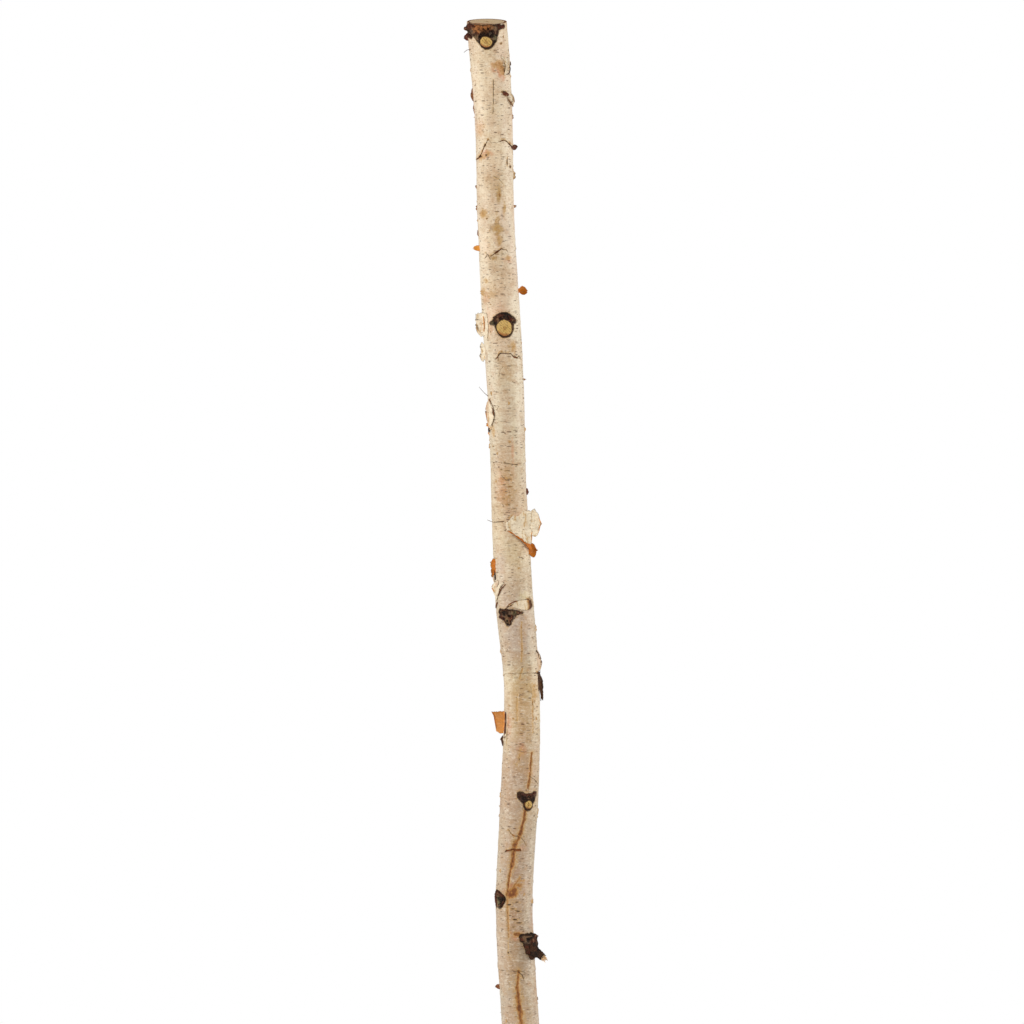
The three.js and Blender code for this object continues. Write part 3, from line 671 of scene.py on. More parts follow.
def relief(azimuth, height):
    """How far the outer bark's surface stands out of its mean, and how rusty and how dark it is."""
    place = round_stem(azimuth, height)
    out = 0.4 * noise(place, (38, 38, 75), 1, 2) + 0.2 * noise(place, (16, 16, 5), 2, 3) - SHRUNK
    out += 0.1 * noise(place, (7, 7, 1.6), 3, 3) + 0.12 * noise(place, (4, 4, 30), 9, 2)
    rust = np.zeros(np.shape(azimuth))
    dark = np.zeros(np.shape(azimuth))
    ragged = noise(place, (4, 4, 6), 4, 4)
    for line, width, depth, strength in CRACKS:
        distance = line_distance(azimuth, height, line)
        near = distance < 8
        if not near.any():
            continue
        gap = np.maximum(distance[near] / (CRACK_SPREAD * width) + 0.6 * ragged[near], 0)
        out[near] += depth * (0.35 * np.exp(-((gap - 2.0) ** 2)) - np.exp(-(gap**2)))
        for share, reach in ((1.2, 1.4), (0.5, 3.5)):
            rust[near] = np.maximum(rust[near], share * strength * np.exp(-((gap / reach) ** 2)))
        dark[near] = np.maximum(dark[near], 0.4 * strength * np.exp(-((gap / 0.6) ** 2)))
    for degrees, middle, wide, tall, strength in STAINS:
        gap = oval(azimuth, height, degrees, middle, STAIN_SPREAD * wide, STAIN_SPREAD * tall) + 0.45 * ragged
        rust = np.maximum(rust, 0.65 * strength * (1 - step(0.1, 1.5, gap)))
        out -= 0.15 * strength * (1 - step(0.6, 1.1, gap))
    for *place_and_size, strength in SPOTS:
        gap = oval(azimuth, height, *place_and_size) + 0.35 * ragged
        dark = np.maximum(dark, strength * (1 - step(0.4, 1.2, gap)))
        rust = np.maximum(rust, 0.6 * strength * (1 - step(0.8, 2.2, gap)))
        out += 0.25 * np.exp(-((gap - 1.3) ** 2) * 4) - 0.35 * (1 - step(0.3, 1.0, gap))
    for line, width, strength in HAIRLINES:
        distance = line_distance(azimuth, height, line)
        near = distance < 4
        gap = np.maximum(distance[near] / width + 0.35 * ragged[near], 0)
        dark[near] = np.maximum(dark[near], strength * np.exp(-(gap**2)))
        rust[near] = np.maximum(rust[near], 0.45 * strength * np.exp(-((gap / 2.5) ** 2)))
        out[near] -= 0.2 * strength * np.exp(-(gap**2))
    for name, knot in KNOTS.items():
        u, v = knot.local(azimuth, height)
        near = (abs(u) < 34) & (abs(v) < 40)
        if not near.any():
            continue
        edge = knot_edge(name, u[near], v[near])
        out[near] += KNOT_SWELL * np.exp(-np.maximum(edge, 0) / 6) * step(-1.5, 1.0, edge)
        out[near] -= KNOT_BED * (1 - step(-2.0, -0.3, edge))
        dark[near] = np.maximum(dark[near], 0.75 * np.exp(-((np.maximum(edge, 0) / 0.8) ** 2)))
        rust[near] = np.maximum(rust[near], 0.4 * np.exp(-((np.maximum(edge, 0) / 2.6) ** 2)))
    return out, rust, dark


def ground_colour(azimuth, height):
    """The bark's colour without its lines and marks, with a painted shade down its front."""
    place = round_stem(azimuth, height)
    shifted = height + 14 * noise(place, (22, 22, 30), 5, 3)
    levels = [row[0] for row in GROUND]
    pale, weathered_and_front_shade = (
        np.stack([np.interp(shifted, levels, [row[tone][i] for row in GROUND]) for i in range(3)], -1)
        for tone in (1, 2)
    )
    # Painted shade: a band down the front is blended towards the darker colour; at the back the same colour
    # comes in weathered patches.
    front = np.exp(-((turn(azimuth + 0.05) / 0.7) ** 2))
    behind = step(-0.1, 0.6, noise(place, (30, 30, 80), 10, 3)) * step(1.2, 1.9, abs(turn(azimuth)))
    colour = blend(pale, weathered_and_front_shade, np.maximum(front, behind))
    light = 0.09 * noise(place, (20, 20, 28), 6, 4) + 0.05 * noise(place, (9, 9, 40), 7, 3)
    warm = noise(place, (26, 26, 60), 8, 3)[..., None]
    tint = np.where(warm > 0, np.array([0.02, -0.03, -0.01]), np.array([0.02, -0.01, 0.06]))
    colour = colour * (1 + light[..., None] + tint * abs(warm) * 1.6)
    ragged = noise(place, (3.2, 3.2, 4.5), 14, 4)
    streaks = noise(place, (1.8, 1.8, 9), 15, 3)
    for *place_and_size, strength, patch in PATCHES:
        gap = oval(azimuth, height, *place_and_size)
        near = gap < 2.4
        if not near.any():
            continue
        share = 1 - step(0.2, 1.7, gap[near] + 0.5 * ragged[near] + 0.3 * streaks[near])
        colour[near] = blend(colour[near], patch, strength * share)
    return colour


# ---- materials
def add_node(tree, kind, inputs=None, **settings):
    """A shader node. An input is a value, or a socket to link it to."""
    made = tree.nodes.new(kind)
    for key, value in settings.items():
        setattr(made, key, value)
    for key, value in (inputs or {}).items():
        if isinstance(value, bpy.types.NodeSocket):
            tree.links.new(value, made.inputs[key])
        else:
            made.inputs[key].default_value = value
    return made


class Shader:
    """A material on one principled shader, and short names for the nodes it is built from."""

    def __init__(self, name, **constants):
        self.material = bpy.data.materials.new(name)
        self.material.use_nodes = True
        self.tree = self.material.node_tree
        self.tree.nodes.clear()
        self.main = self.add("ShaderNodeBsdfPrincipled", constants)
        output = self.add("ShaderNodeOutputMaterial")
        self.tree.links.new(self.main.outputs["BSDF"], output.inputs["Surface"])
        coordinates = self.add("ShaderNodeTexCoord").outputs["Object"]
        self.place = self.scaled(coordinates, 1 / MM, 1 / MM, 1 / MM)

    def add(self, kind, inputs=None, **settings):
        return add_node(self.tree, kind, inputs, **settings)

    def scaled(self, vector, x, y, z):
        inputs = {0: vector, 1: (x, y, z)}
        return self.add("ShaderNodeVectorMath", inputs, operation="MULTIPLY").outputs[0]

    def math(self, operation, *values):
        return self.add("ShaderNodeMath", dict(enumerate(values)), operation=operation).outputs[0]

    def value(self, name):
        return self.add("ShaderNodeAttribute", attribute_name=name).outputs["Fac"]

    def colour(self, name):
        return self.add("ShaderNodeAttribute", attribute_name=name).outputs["Color"]

    def noise(self, x, y, z, detail=3.0, roughness=0.55, distortion=0.0):
        inputs = {"Vector": self.scaled(self.place, 1 / x, 1 / y, 1 / z), "Scale": 1.0, "Detail": detail,
                  "Roughness": roughness, "Distortion": distortion}
        return self.add("ShaderNodeTexNoise", inputs).outputs["Fac"]

    def ramp(self, value, low, high, start=0.0, end=1.0):
        inputs = {"Value": value, "From Min": low, "From Max": high, "To Min": start, "To Max": end}
        made = self.add("ShaderNodeMapRange", inputs, interpolation_type="SMOOTHSTEP")
        return made.outputs["Result"]

    def mix(self, share, first, second, blend_type="MIX"):
        made = self.add("ShaderNodeMix", data_type="RGBA", blend_type=blend_type)
        for index, value in ((0, share), (6, first), (7, second)):
            if isinstance(value, bpy.types.NodeSocket):
                self.tree.links.new(value, made.inputs[index])
            else:
                made.inputs[index].default_value = value if index == 0 else (*value, 1.0)
        return made.outputs[2]

    def tints(self, colour, *rows):
        """Mixes colours in by rows: a value, from where to where it counts, the most it gives, colour."""
        for value, low, high, most, tint in rows:
            colour = self.mix(self.ramp(value, low, high, 0.0, most), colour, tint)
        return colour

    def dashes(self, wide, tall, kept, size, seed):
        """Short level dashes: one in each kept cell that is wide by tall."""
        moved = self.add("ShaderNodeVectorMath", {0: self.place, 1: (seed, seed * 1.7, seed * 2.3)},
                         operation="ADD").outputs[0]
        cells = self.add("ShaderNodeTexVoronoi", {"Vector": self.scaled(moved, 1 / wide, 1 / wide, 1 / tall),
                                                  "Scale": 1.0})
        parts = self.add("ShaderNodeSeparateColor", {"Color": cells.outputs["Color"]})
        chosen = self.math("GREATER_THAN", parts.outputs["Red"], 1 - kept)
        reach = self.math("MULTIPLY_ADD", parts.outputs["Green"], size * 0.6, size * 0.55)
        inner = self.math("DIVIDE", cells.outputs["Distance"], reach)
        strength = self.ramp(parts.outputs["Blue"], 0.0, 1.0, 0.4, 1.0)
        chosen = self.math("MULTIPLY", chosen, strength)
        return self.math("MULTIPLY", self.ramp(inner, 0.5, 1.0, 1.0, 0.0), chosen)

    def finish(self, colour, roughness, height, distance, strength=1.0):
        inputs = {"Height": height, "Distance": distance * MM, "Strength": strength}
        bump = self.add("ShaderNodeBump", inputs)
        self.tree.links.new(colour, self.main.inputs["Base Color"])
        self.tree.links.new(roughness, self.main.inputs["Roughness"])
        self.tree.links.new(bump.outputs["Normal"], self.main.inputs["Normal"])
        return self.material


def bark_material():
    """Papery birch bark: level fibres, lenticels, rust where it is bare, and soft mottling."""
    s = Shader("papery_bark", **{"IOR": 1.45, "Sheen Weight": 0.06, "Sheen Roughness": 0.5})
    broad = s.noise(26, 26, 38, 4)
    cloud = s.noise(8, 8, 7, 4, 0.6)
    level = s.noise(11, 11, 2.0, 4, 0.6, 0.6)
    hair = s.noise(6, 6, 0.7, 3, 0.6, 0.8)
    upright = s.noise(3.4, 3.4, 60, 3, 0.55)
    grain = s.noise(1.5, 1.5, 1.2, 4, 0.65)
    crowd = s.noise(30, 30, 22, 2)
    fleck = s.noise(3.2, 3.2, 1.9, 4, 0.65, 0.4)
    colour = s.tints(
        s.colour("ground"),
        (broad, 0.42, 0.72, 0.45, srgb(190, 148, 104)),
        (cloud, 0.5, 0.74, 0.5, srgb(196, 152, 108)),
        (cloud, 0.48, 0.28, 0.4, srgb(246, 232, 208)),
        (level, 0.52, 0.7, 0.3, srgb(176, 138, 98)),
        (level, 0.48, 0.3, 0.3, srgb(250, 238, 214)),
        (upright, 0.52, 0.72, 0.16, srgb(170, 140, 106)),
        (fleck, 0.53, 0.7, 0.5, srgb(166, 124, 82)),
        (fleck, 0.46, 0.3, 0.5, srgb(252, 242, 220)),
        (grain, 0.54, 0.76, 0.5, srgb(150, 112, 74)),
    )
    specks = s.math("MULTIPLY", s.dashes(2.4, 1.5, 0.4, 0.34, 3.1), s.ramp(crowd, 0.38, 0.6, 0.2, 1.0))
    colour = s.mix(s.math("MULTIPLY", specks, 0.55), colour, srgb(138, 98, 64))
    long_dash = s.dashes(8.0, 2.1, 0.38, 0.44, 0.0)
    short_dash = s.dashes(4.4, 1.8, 0.36, 0.44, 11.7)
    short_dash = s.math("MULTIPLY", short_dash, s.ramp(crowd, 0.36, 0.6, 0.35, 1.0))
    dash = s.math("MAXIMUM", long_dash, short_dash)
    dash = s.math("MULTIPLY", dash, s.ramp(s.noise(5, 5, 3, 3), 0.34, 0.6, 0.35, 1.0))
    bold = s.math("MULTIPLY", s.value("bold"), 0.85)
    s.tree.links.new(s.ramp(bold, 0.3, 0.8, 0.5, 0.08), s.main.inputs["Specular IOR Level"])
    colour = s.mix(bold, colour, s.colour("ground"))
    dash = s.math("MULTIPLY", dash, s.math("SUBTRACT", 1.0, bold))
    colour = s.mix(s.math("MULTIPLY", dash, 0.92), colour, srgb(94, 58, 32))
    ragged = s.math("SUBTRACT", s.noise(2.0, 2.0, 2.4, 5, 0.65), 0.5)
    edge = s.math("MULTIPLY_ADD", ragged, 1.3, s.value("rust"))
    bare = s.ramp(edge, 0.4, 0.95)
    shade = s.noise(2.4, 2.4, 5.0, 4, 0.6)
    colour = s.tints(colour, (edge, 0.12, 0.6, 0.7, PALE_RUST))
    rust = s.mix(s.ramp(shade, 0.38, 0.62), RUST, MIDDLE_RUST)
    colour = s.mix(s.math("MULTIPLY", bare, 0.88), colour, rust)
    ragged = s.math("SUBTRACT", s.noise(1.5, 1.5, 1.5, 4, 0.65), 0.5)
    rim = s.math("MULTIPLY_ADD", ragged, 0.9, s.value("dark"))
    colour = s.tints(colour, (edge, 0.95, 1.3, 0.8, DEEP_RUST), (rim, 0.2, 0.85, 0.93, DARK))
    height = s.math("MULTIPLY_ADD", level, 0.45, s.math("MULTIPLY", hair, 0.12))
    for value, share in ((grain, 0.2), (cloud, 0.5), (dash, 0.45), (bare, -0.35)):
        height = s.math("MULTIPLY_ADD", value, share, height)
    roughness = s.math("ADD", s.ramp(level, 0.3, 0.8, 0.46, 0.66), s.math("MULTIPLY", bare, 0.2))
    return s.finish(colour, roughness, height, 0.6, 0.9)


def rough_bark_material():
    """The dark, cracked bark of a knot, with paler crumbs, and a paler tint on its ridges that is partly a
    painted highlight.
    """
    s = Shader("knot_bark", **{"IOR": 1.4, "Specular IOR Level": 0.3})
    clump = s.noise(4.0, 4.0, 4.0, 5, 0.62)
    crumb = s.noise(1.5, 1.5, 1.5, 5, 0.65)
    dust = s.noise(0.7, 0.7, 0.7, 3, 0.6)
    colour = s.tints(
        s.colour("ground"),
        (clump, 0.5, 0.7, 0.6, srgb(22, 13, 9)),
        (s.value("ridge"), 0.35, 1.0, 0.55, srgb(150, 116, 84)),
        (crumb, 0.55, 0.72, 0.6, srgb(126, 92, 62)),
        (crumb, 0.44, 0.3, 0.6, srgb(20, 12, 8)),
        (dust, 0.6, 0.76, 0.45, srgb(178, 150, 118)),
    )
    height = s.math("MULTIPLY_ADD", clump, 0.6, s.math("MULTIPLY", crumb, 0.7))
    return s.finish(colour, s.ramp(crumb, 0.3, 0.7, 0.66, 0.9), height, 1.2)


def end_grain_material(name, ring, light, dark, heart, heart_reach, saw_marks=0.15):
    """Sawn wood across the grain: growth rings round the pith, saw marks and a darker heart."""
    s = Shader(name, **{"IOR": 1.45})
    wobble = s.noise(7, 7, 7, 3)
    fine = s.noise(0.9, 0.9, 0.9, 4, 0.65)
    broad = s.noise(6, 6, 6, 3)
    reach = s.value("reach")
    turned = s.math("MULTIPLY_ADD", wobble, ring * 2.2, reach)
    growth = s.math("SINE", s.math("MULTIPLY", turned, 2 * math.pi / ring))
    stain = s.math("MULTIPLY_ADD", s.noise(2.5, 2.5, 2.5, 4, 0.6), 0.6, s.value("rust"))
    rim = s.math("MULTIPLY_ADD", s.noise(1.2, 1.2, 1.2, 4, 0.6), 0.4, s.value("dark"))
    colour = s.tints(
        light,
        (growth, -0.2, 1.0, 0.75, dark),
        (broad, 0.4, 0.7, 0.4, srgb(226, 190, 130)),
        (fine, 0.55, 0.8, 0.4, srgb(150, 108, 62)),
        (reach, heart_reach, 0.0, 0.75, heart),
        (stain, 0.5, 1.1, 0.9, srgb(170, 98, 44)),
        (rim, 0.5, 0.9, 0.92, srgb(66, 40, 22)),
    )
    saw = s.add("ShaderNodeTexWave", {"Vector": s.scaled(s.place, 0.55, 0.2, 0.55), "Scale": 0.32,
                                      "Distortion": 3.0, "Detail": 2.0}, bands_direction="DIAGONAL")
    marks = s.math("MULTIPLY", s.ramp(saw.outputs["Fac"], 0.35, 0.8), s.ramp(s.noise(2, 2, 2, 3), 0.4, 0.6))
    colour = s.mix(s.math("MULTIPLY", marks, saw_marks), colour, srgb(118, 92, 40))
    height = s.math("MULTIPLY_ADD", saw.outputs["Fac"], 0.4, s.math("MULTIPLY", fine, 0.5))
    height = s.math("SUBTRACT", height, s.math("MULTIPLY", growth, 0.12))
    return s.finish(colour, s.ramp(fine, 0.3, 0.7, 0.62, 0.8), height, 0.35)


def inner_bark_material():
    """The fibrous rust-brown layer under the papery bark."""
    s = Shader("inner_bark_fibre", **{"IOR": 1.45})
    fibre = s.noise(1.2, 1.2, 14, 4, 0.6)
    patch = s.noise(7, 7, 12, 4)
    crumb = s.noise(0.8, 0.8, 0.8, 3)
    colour = s.mix(s.ramp(patch, 0.35, 0.65), srgb(158, 88, 38), srgb(104, 58, 28))
    colour = s.tints(
        colour,
        (fibre, 0.5, 0.75, 0.6, srgb(206, 140, 78)),
        (crumb, 0.6, 0.8, 0.4, srgb(70, 38, 20)),
    )
    height = s.math("MULTIPLY_ADD", fibre, 0.7, s.math("MULTIPLY", crumb, 0.3))
    return s.finish(colour, s.ramp(crumb, 0.3, 0.7, 0.7, 0.85), height, 0.5)


def pith_material():
    """The soft, dark, spongy core."""
    s = Shader("pith_core", **{"IOR": 1.4})
    cell = s.noise(0.6, 0.6, 0.6, 4, 0.6)
    colour = s.mix(s.ramp(cell, 0.35, 0.65), srgb(96, 58, 30), srgb(150, 98, 52))
    return s.finish(colour, s.ramp(cell, 0.3, 0.7, 0.8, 0.95), cell, 0.4)


LOOKS = {
    "bark": bark_material(),
    "rough": rough_bark_material(),
    "wood": end_grain_material("pole_end_grain", 1.9, srgb(244, 216, 174), srgb(220, 180, 130),
                               srgb(196, 142, 84), 5.0),
    "branch": end_grain_material("branch_end_grain", 1.5, srgb(228, 190, 110), srgb(190, 144, 70),
                                 srgb(176, 122, 54), 3.5, 0.6),
    "torn": end_grain_material("torn_twig_wood", 1.5, srgb(240, 204, 160), srgb(214, 160, 108),
                               srgb(200, 140, 90), 0.5),
    "inner": inner_bark_material(),
    "pith": pith_material(),
}


# ---- the bark sheets
AROUND = 208  # points round a sheet
ROW = 0.62  # millimetres between its rows
INNER_ROWS = 14  # how many of those rows the hidden inner face has one for
THIN = 0.5  # how thick the papery bark is

# Loose scales at the sheets' sides: azimuth in degrees, height, side, length, width, lift and colour.
SCALES = [
    (-84, 1301, -1, 2.6, 5, 30, 1), (-85, 1276, -1, 2.8, 7, 35, 1), (86, 1333, 1, 4.5, 2.2, 60, 1),
    (84, 1278, 1, 3.6, 3.5, 45, 1), (86, 1070, 1, 3.0, 2.6, 60, 1), (-84, 1395, -1, 2.4, 12, 25, 1),
    (-80, 1441, -1, 2.0, 6, 20, 0), (84, 1386, 1, 2.6, 6, 30, 1), (30, 1098, 1, 4.0, 4.0, 40, 2),
    (47, 1097, 1, 4.0, 3.5, 45, 2), (-48, 1339, -1, 4.5, 4.0, 35, 0), (52, 1330, 1, 3.5, 5.0, 40, 1),
    (-83, 1246, -1, 2.4, 8, 25, 1), (-64, 1174, -1, 4.0, 6.0, 30, 0), (80, 1010, 1, 2.4, 6, 30, 0),
    (-80, 990, -1, 2.2, 7, 25, 0), (-84, 880, -1, 2.0, 8, 25, 0), (84, 800, 1, 2.4, 3, 45, 1),
    (-80, 742, -1, 2.0, 8, 25, 0), (84, 770, 1, 2.2, 9, 25, 0), (-82, 568, -1, 2.2, 9, 25, 0),
    (84, 548, 1, 2.0, 9, 25, 0), (-84, 351, -1, 1.6, 11, 22, 1), (84, 440, 1, 2.0, 8, 25, 0),
]
SCALE_COLOURS = [srgb(196, 150, 106), srgb(84, 52, 34)]
OWN_COLOUR = 2  # stands for the bark's own colour
SCALE_RUST = (0.5, 1.1, 0.0)  # for each of the colours, the bark's own last
SCALE_DARK = (0.0, 0.35, 0.0)
SCALE_SPACING = 7  # millimetres of stem for each scattered scale


def scales(low, high, seed):
    """The loose scales of a sheet between two heights: the placed ones and some scattered ones."""
    generator = np.random.default_rng(seed)
    rows = [row for row in SCALES if low + 4 < row[1] < high - 4]
    for _ in range(int((high - low) / SCALE_SPACING)):
        side = generator.choice([-1, 1])
        ranges = ((-180, 180), (low + 6, high - 6), (1.2, 3.0), (1.5, 5.0), (8, 28))
        degrees, height, *size_and_lift = (generator.uniform(*ends) for ends in ranges)
        rows.append((degrees, height, side, *size_and_lift, generator.choice([0, OWN_COLOUR, OWN_COLOUR])))
    for degrees, height, side, length, width, lift, tint in rows:
        share, t = np.meshgrid(np.linspace(-0.5, 1, 9), np.linspace(-1, 1, 9), indexing="ij")
        ragged = 1 + 0.5 * noise(np.stack([t * 2, 0 * t + degrees, 0 * t + height], -1), (1, 1, 1), seed, 2)
        reach = np.maximum(share, 0) * length * ragged
        narrow = 1 - 0.55 * np.maximum(share, 0) ** 1.5
        along = side * (reach * math.cos(math.radians(lift)) + np.minimum(share, 0) * length)
        out = reach * math.sin(math.radians(lift)) - 0.25 - 0.5 * np.maximum(-share, 0) - SHRUNK
        azimuth = math.radians(degrees) + along / MEAN_RADIUS
        level = height + t * width / 2 * narrow + 0.35 * reach * generator.uniform(-1, 1)
        front = on_stem(azimuth, level, out + 0.3)
        back = on_stem(azimuth, level, out)
        own = tint == OWN_COLOUR
        colour = ground_colour(azimuth, level) if own else SCALE_COLOURS[tint] + 0 * front
        looks = {
            "ground": colour * generator.uniform(0.85, 1.1),
            "rust": SCALE_RUST[tint] + 0 * share,
            "dark": SCALE_DARK[tint] + 0.5 * step(0.75, 1.0, share) * (not own),
        }
        yield plate(front, back, looks, looks)


def bark_sheet(number, node):
    """One ring of papery bark with torn, lifted edges, as a closed shell."""
    azimuth = circle(AROUND)
    flat = np.zeros(AROUND)
    low, low_gap, low_lift = seam_edge(number - 1, azimuth) if number > 1 else (flat, flat, flat)
    high, high_gap, _ = seam_edge(number, azimuth) if number < len(SHEETS) else (flat + LENGTH, flat, flat)
    low, high = low + low_gap * 0.6, high - high_gap * 0.6

    def surface(shares):
        """Rows of places from the lower edge to the upper one, with the bark's relief and lifted lip."""
        height = low * (1 - shares) + high * shares
        around = np.broadcast_to(azimuth, height.shape)
        lift = np.maximum(low_lift, 0) * np.exp(-((height - low) / LIP_REACH) ** 2)
        return around, height, lift, *relief(around, height)

    rows = int((high.max() - low.min()) / ROW)
    around, height, lift, out, rust, dark = surface(np.linspace(0, 1, rows)[:, None])
    fall = np.exp(-((high - height) / 1.2) ** 2) * np.minimum(high_gap, 0.5) * 0.5
    colour = ground_colour(around, height)
    lip = step(0.1, 0.8, lift)
    frayed = 0.5 + noise(round_stem(around, height), (5, 5, 5), 95, 2)
    rust = np.maximum(rust, 0.8 * lip * frayed)
    # Painted shade: the lowest rows of the sheet are darkened where the seam below gapes open, for the shade
    # in the gap under the lifted edge.
    dark = np.maximum(dark, 0.7 * step(0.2, 0.9, low_gap) * np.exp(-((height - low) / 0.9) ** 2))
    outer = on_stem(around, height, out + lift - fall)
    inside = np.concatenate([[1.0, 0.99], np.linspace(0.97, 0.03, rows // INNER_ROWS), [0.01, 0.0]])
    inner_around, inner_height, inner_lift, inner_out, _, _ = surface(inside[:, None])
    inner = on_stem(inner_around, inner_height, inner_out + inner_lift - THIN)
    inner_colour = np.broadcast_to(PALE_RUST, inner.shape)
    points = np.concatenate([outer, inner])
    values = {
        "ground": np.concatenate([colour, inner_colour]).reshape(-1, 3),
        "rust": np.concatenate([rust, np.full(inner_height.shape, 0.9)]).ravel(),
        "dark": np.concatenate([dark, np.full(inner_height.shape, 0.3)]).ravel(),
    }
    faces = grid_faces(len(points), AROUND, wrap_rows=True, wrap_columns=True)
    parts = Parts()
    parts.add(points.reshape(-1, 3), faces, **values)
    for scale_points, scale_faces, scale_values in scales(low.max(), high.min(), 900 + number):
        parts.add(scale_points, scale_faces, **scale_values)
    finish_piece(parts.make(f"{node}_paper"), LOOKS["bark"], "outer_bark", node)


for sheet_number, sheet_node in enumerate(SHEETS, 1):
    bark_sheet(sheet_number, sheet_node)


# ---- the layers underneath
INNER_BARK_TOP = 0.75  # how far the inner bark's outer face lies under the bark's surface
INNER_BARK_BASE = 2.2  # its inner face
WOOD_AROUND = 220  # points round the wood
PITH_PLAY = 0.1  # how much wider than the pith its channel is
# The checks in a sawn end: angle, depth and how far from the middle they reach.
CHECKS = [(0.5, 0.9, 14), (2.3, 0.7, 10), (3.9, 0.8, 12), (5.2, 0.6, 8), (1.5, 0.5, 7)]


def inner_bark_layer():
    """The inner bark, which shows in the tears and as a thin ring at both sawn ends."""
    azimuth = circle(160)
    heights = np.concatenate([np.arange(0, LENGTH - 4, 6.0), np.linspace(LENGTH - 4, LENGTH, 6)])
    height, around = np.meshgrid(heights, azimuth, indexing="ij")
    out, _, _ = relief(around, height)
    place = round_stem(around, height)
    wavy = 0.12 * noise(place, (5, 5, 12), 21, 3)
    outer = on_stem(around, height, out - INNER_BARK_TOP + wavy)
    inner = on_stem(around, height, np.minimum(out, 0) - INNER_BARK_BASE)[::-1]
    points = np.concatenate([outer, inner])
    faces = grid_faces(len(points), len(azimuth), wrap_rows=True, wrap_columns=True)
    piece = mesh_object("inner_bark_layer", points.reshape(-1, 3), faces, {})
    finish_piece(piece, LOOKS["inner"], "inner_bark", "inner_bark")


def sawn_end(at_top):
    """The wood's end: rings of points from its rim to the pith, with checks, saw marks and a rough rim."""
    azimuth = circle(WOOD_AROUND)
    height = LENGTH if at_top else 0.0
    rim = radius(height) - INNER_BARK_BASE - SHRUNK - 0.3
    shares = np.linspace(1, (PITH_RADIUS + PITH_PLAY) / rim, 64)
    share, around = np.meshgrid(shares, azimuth, indexing="ij")
    reach = share * rim
    place = np.stack([reach * np.sin(around), -reach * np.cos(around), np.full(reach.shape, height)], -1)
    dip = 0.1 * noise(place, (2.5, 9, 5), 31, 3) + 0.15 * noise(place, (9, 9, 9), 32, 2)
    rust = np.zeros(reach.shape)
    dark = 0.9 * np.exp(-(((rim - reach) / 0.5) ** 2))
    for angle, depth, length in CHECKS:
        bent = turn(around - angle - 0.05 * noise(place, (6, 6, 6), 33, 2))
        narrow = 0.16 * (1 - reach / (length + 3)).clip(0, 1) + 0.05
        crack = np.exp(-((bent * reach / narrow / 2.2) ** 2)) * (1 - step(length, length + 3, reach))
        dip = abs(dip) + depth * crack
        dark = np.maximum(dark, 0.9 * crack)
    if at_top:
        front = np.cos(around + 0.25)
        rust = step(0.45, 0.95, front * reach / rim) * 0.9
        dip = dip + 1.6 * step(0.72, 1.0, front * reach / rim)
    x, y = centre(height)
    z = height + TOP_SLOPE * place[..., 1] - abs(dip) if at_top else height + abs(dip) * 0.6
    return np.stack([x + place[..., 0], y + place[..., 1], z], -1), reach, rust, dark


def wood_core():
    """The stem's wood: both sawn ends, the wall between them and the channel for the pith."""
    top, top_reach, top_rust, top_dark = sawn_end(True)
    foot, foot_reach, foot_rust, foot_dark = sawn_end(False)
    azimuth = circle(WOOD_AROUND)
    wall_heights = np.arange(6, LENGTH - 5, 12.0)
    height, around = np.meshgrid(wall_heights, azimuth, indexing="ij")
    wall = on_stem(around, height, -INNER_BARK_BASE - SHRUNK - 0.6)
    bore_heights = np.concatenate([[LENGTH - 1.5], np.arange(LENGTH - 20, 10, -60.0), [1.5]])
    height, around = np.meshgrid(bore_heights, azimuth, indexing="ij")
    bore = on_stem(around, height, PITH_RADIUS + PITH_PLAY - radius(height))
    points = np.concatenate([foot[::-1], wall, top, bore])
    flat_wall, flat_bore = np.zeros(wall.shape[:2]), np.zeros(bore.shape[:2])
    values = {
        "reach": np.concatenate([foot_reach[::-1], flat_wall + 20, top_reach, flat_bore + 1]).ravel(),
        "rust": np.concatenate([foot_rust[::-1], flat_wall, top_rust, flat_bore]).ravel(),
        "dark": np.concatenate([foot_dark[::-1], flat_wall, top_dark, flat_bore + 0.5]).ravel(),
    }
    faces = grid_faces(len(points), len(azimuth), wrap_rows=True, wrap_columns=True)
    piece = mesh_object("stem_wood_grain", points.reshape(-1, 3), faces, values)
    finish_piece(piece, LOOKS["wood"], "wood", "stem_wood")


def pith_rod():
    """The pith, a thin rod that shows as a dark spot at both ends."""
    azimuth = circle(36)
    heights = np.concatenate([[0.25, 0.25, 0.5], np.arange(20, LENGTH - 10, 30.0),
                              [LENGTH - 0.5, LENGTH - 0.25, LENGTH - 0.25]])
    reach = np.full(len(heights), PITH_RADIUS)
    reach[[0, -1]] = PITH_RADIUS * 0.4
    reach[[1, -2]] = PITH_RADIUS * 0.9
    height, around = np.meshgrid(heights, azimuth, indexing="ij")
    rough = 0.1 * noise(round_stem(around, height), (9, 9, 3), 41, 2)
    points, faces = closed_tube(on_stem(around, height, reach[:, None] * (1 + rough) - radius(height)))
    piece = mesh_object("pith_thread", points, faces, {})
    finish_piece(piece, LOOKS["pith"], "pith", "pith")


inner_bark_layer()
wood_core()
pith_rod()


# ---- the knots
CELL = 0.36  # the finest detail of a knot's rough bark
CRUST_EDGE = -1.9  # how far out its edge lies, hidden under the papery bark
CRUST_BACK = -2.3  # how far out its hidden back lies
HIDDEN_FACE = -3.2  # how far out the wood's face lies where the branch isn't sawn


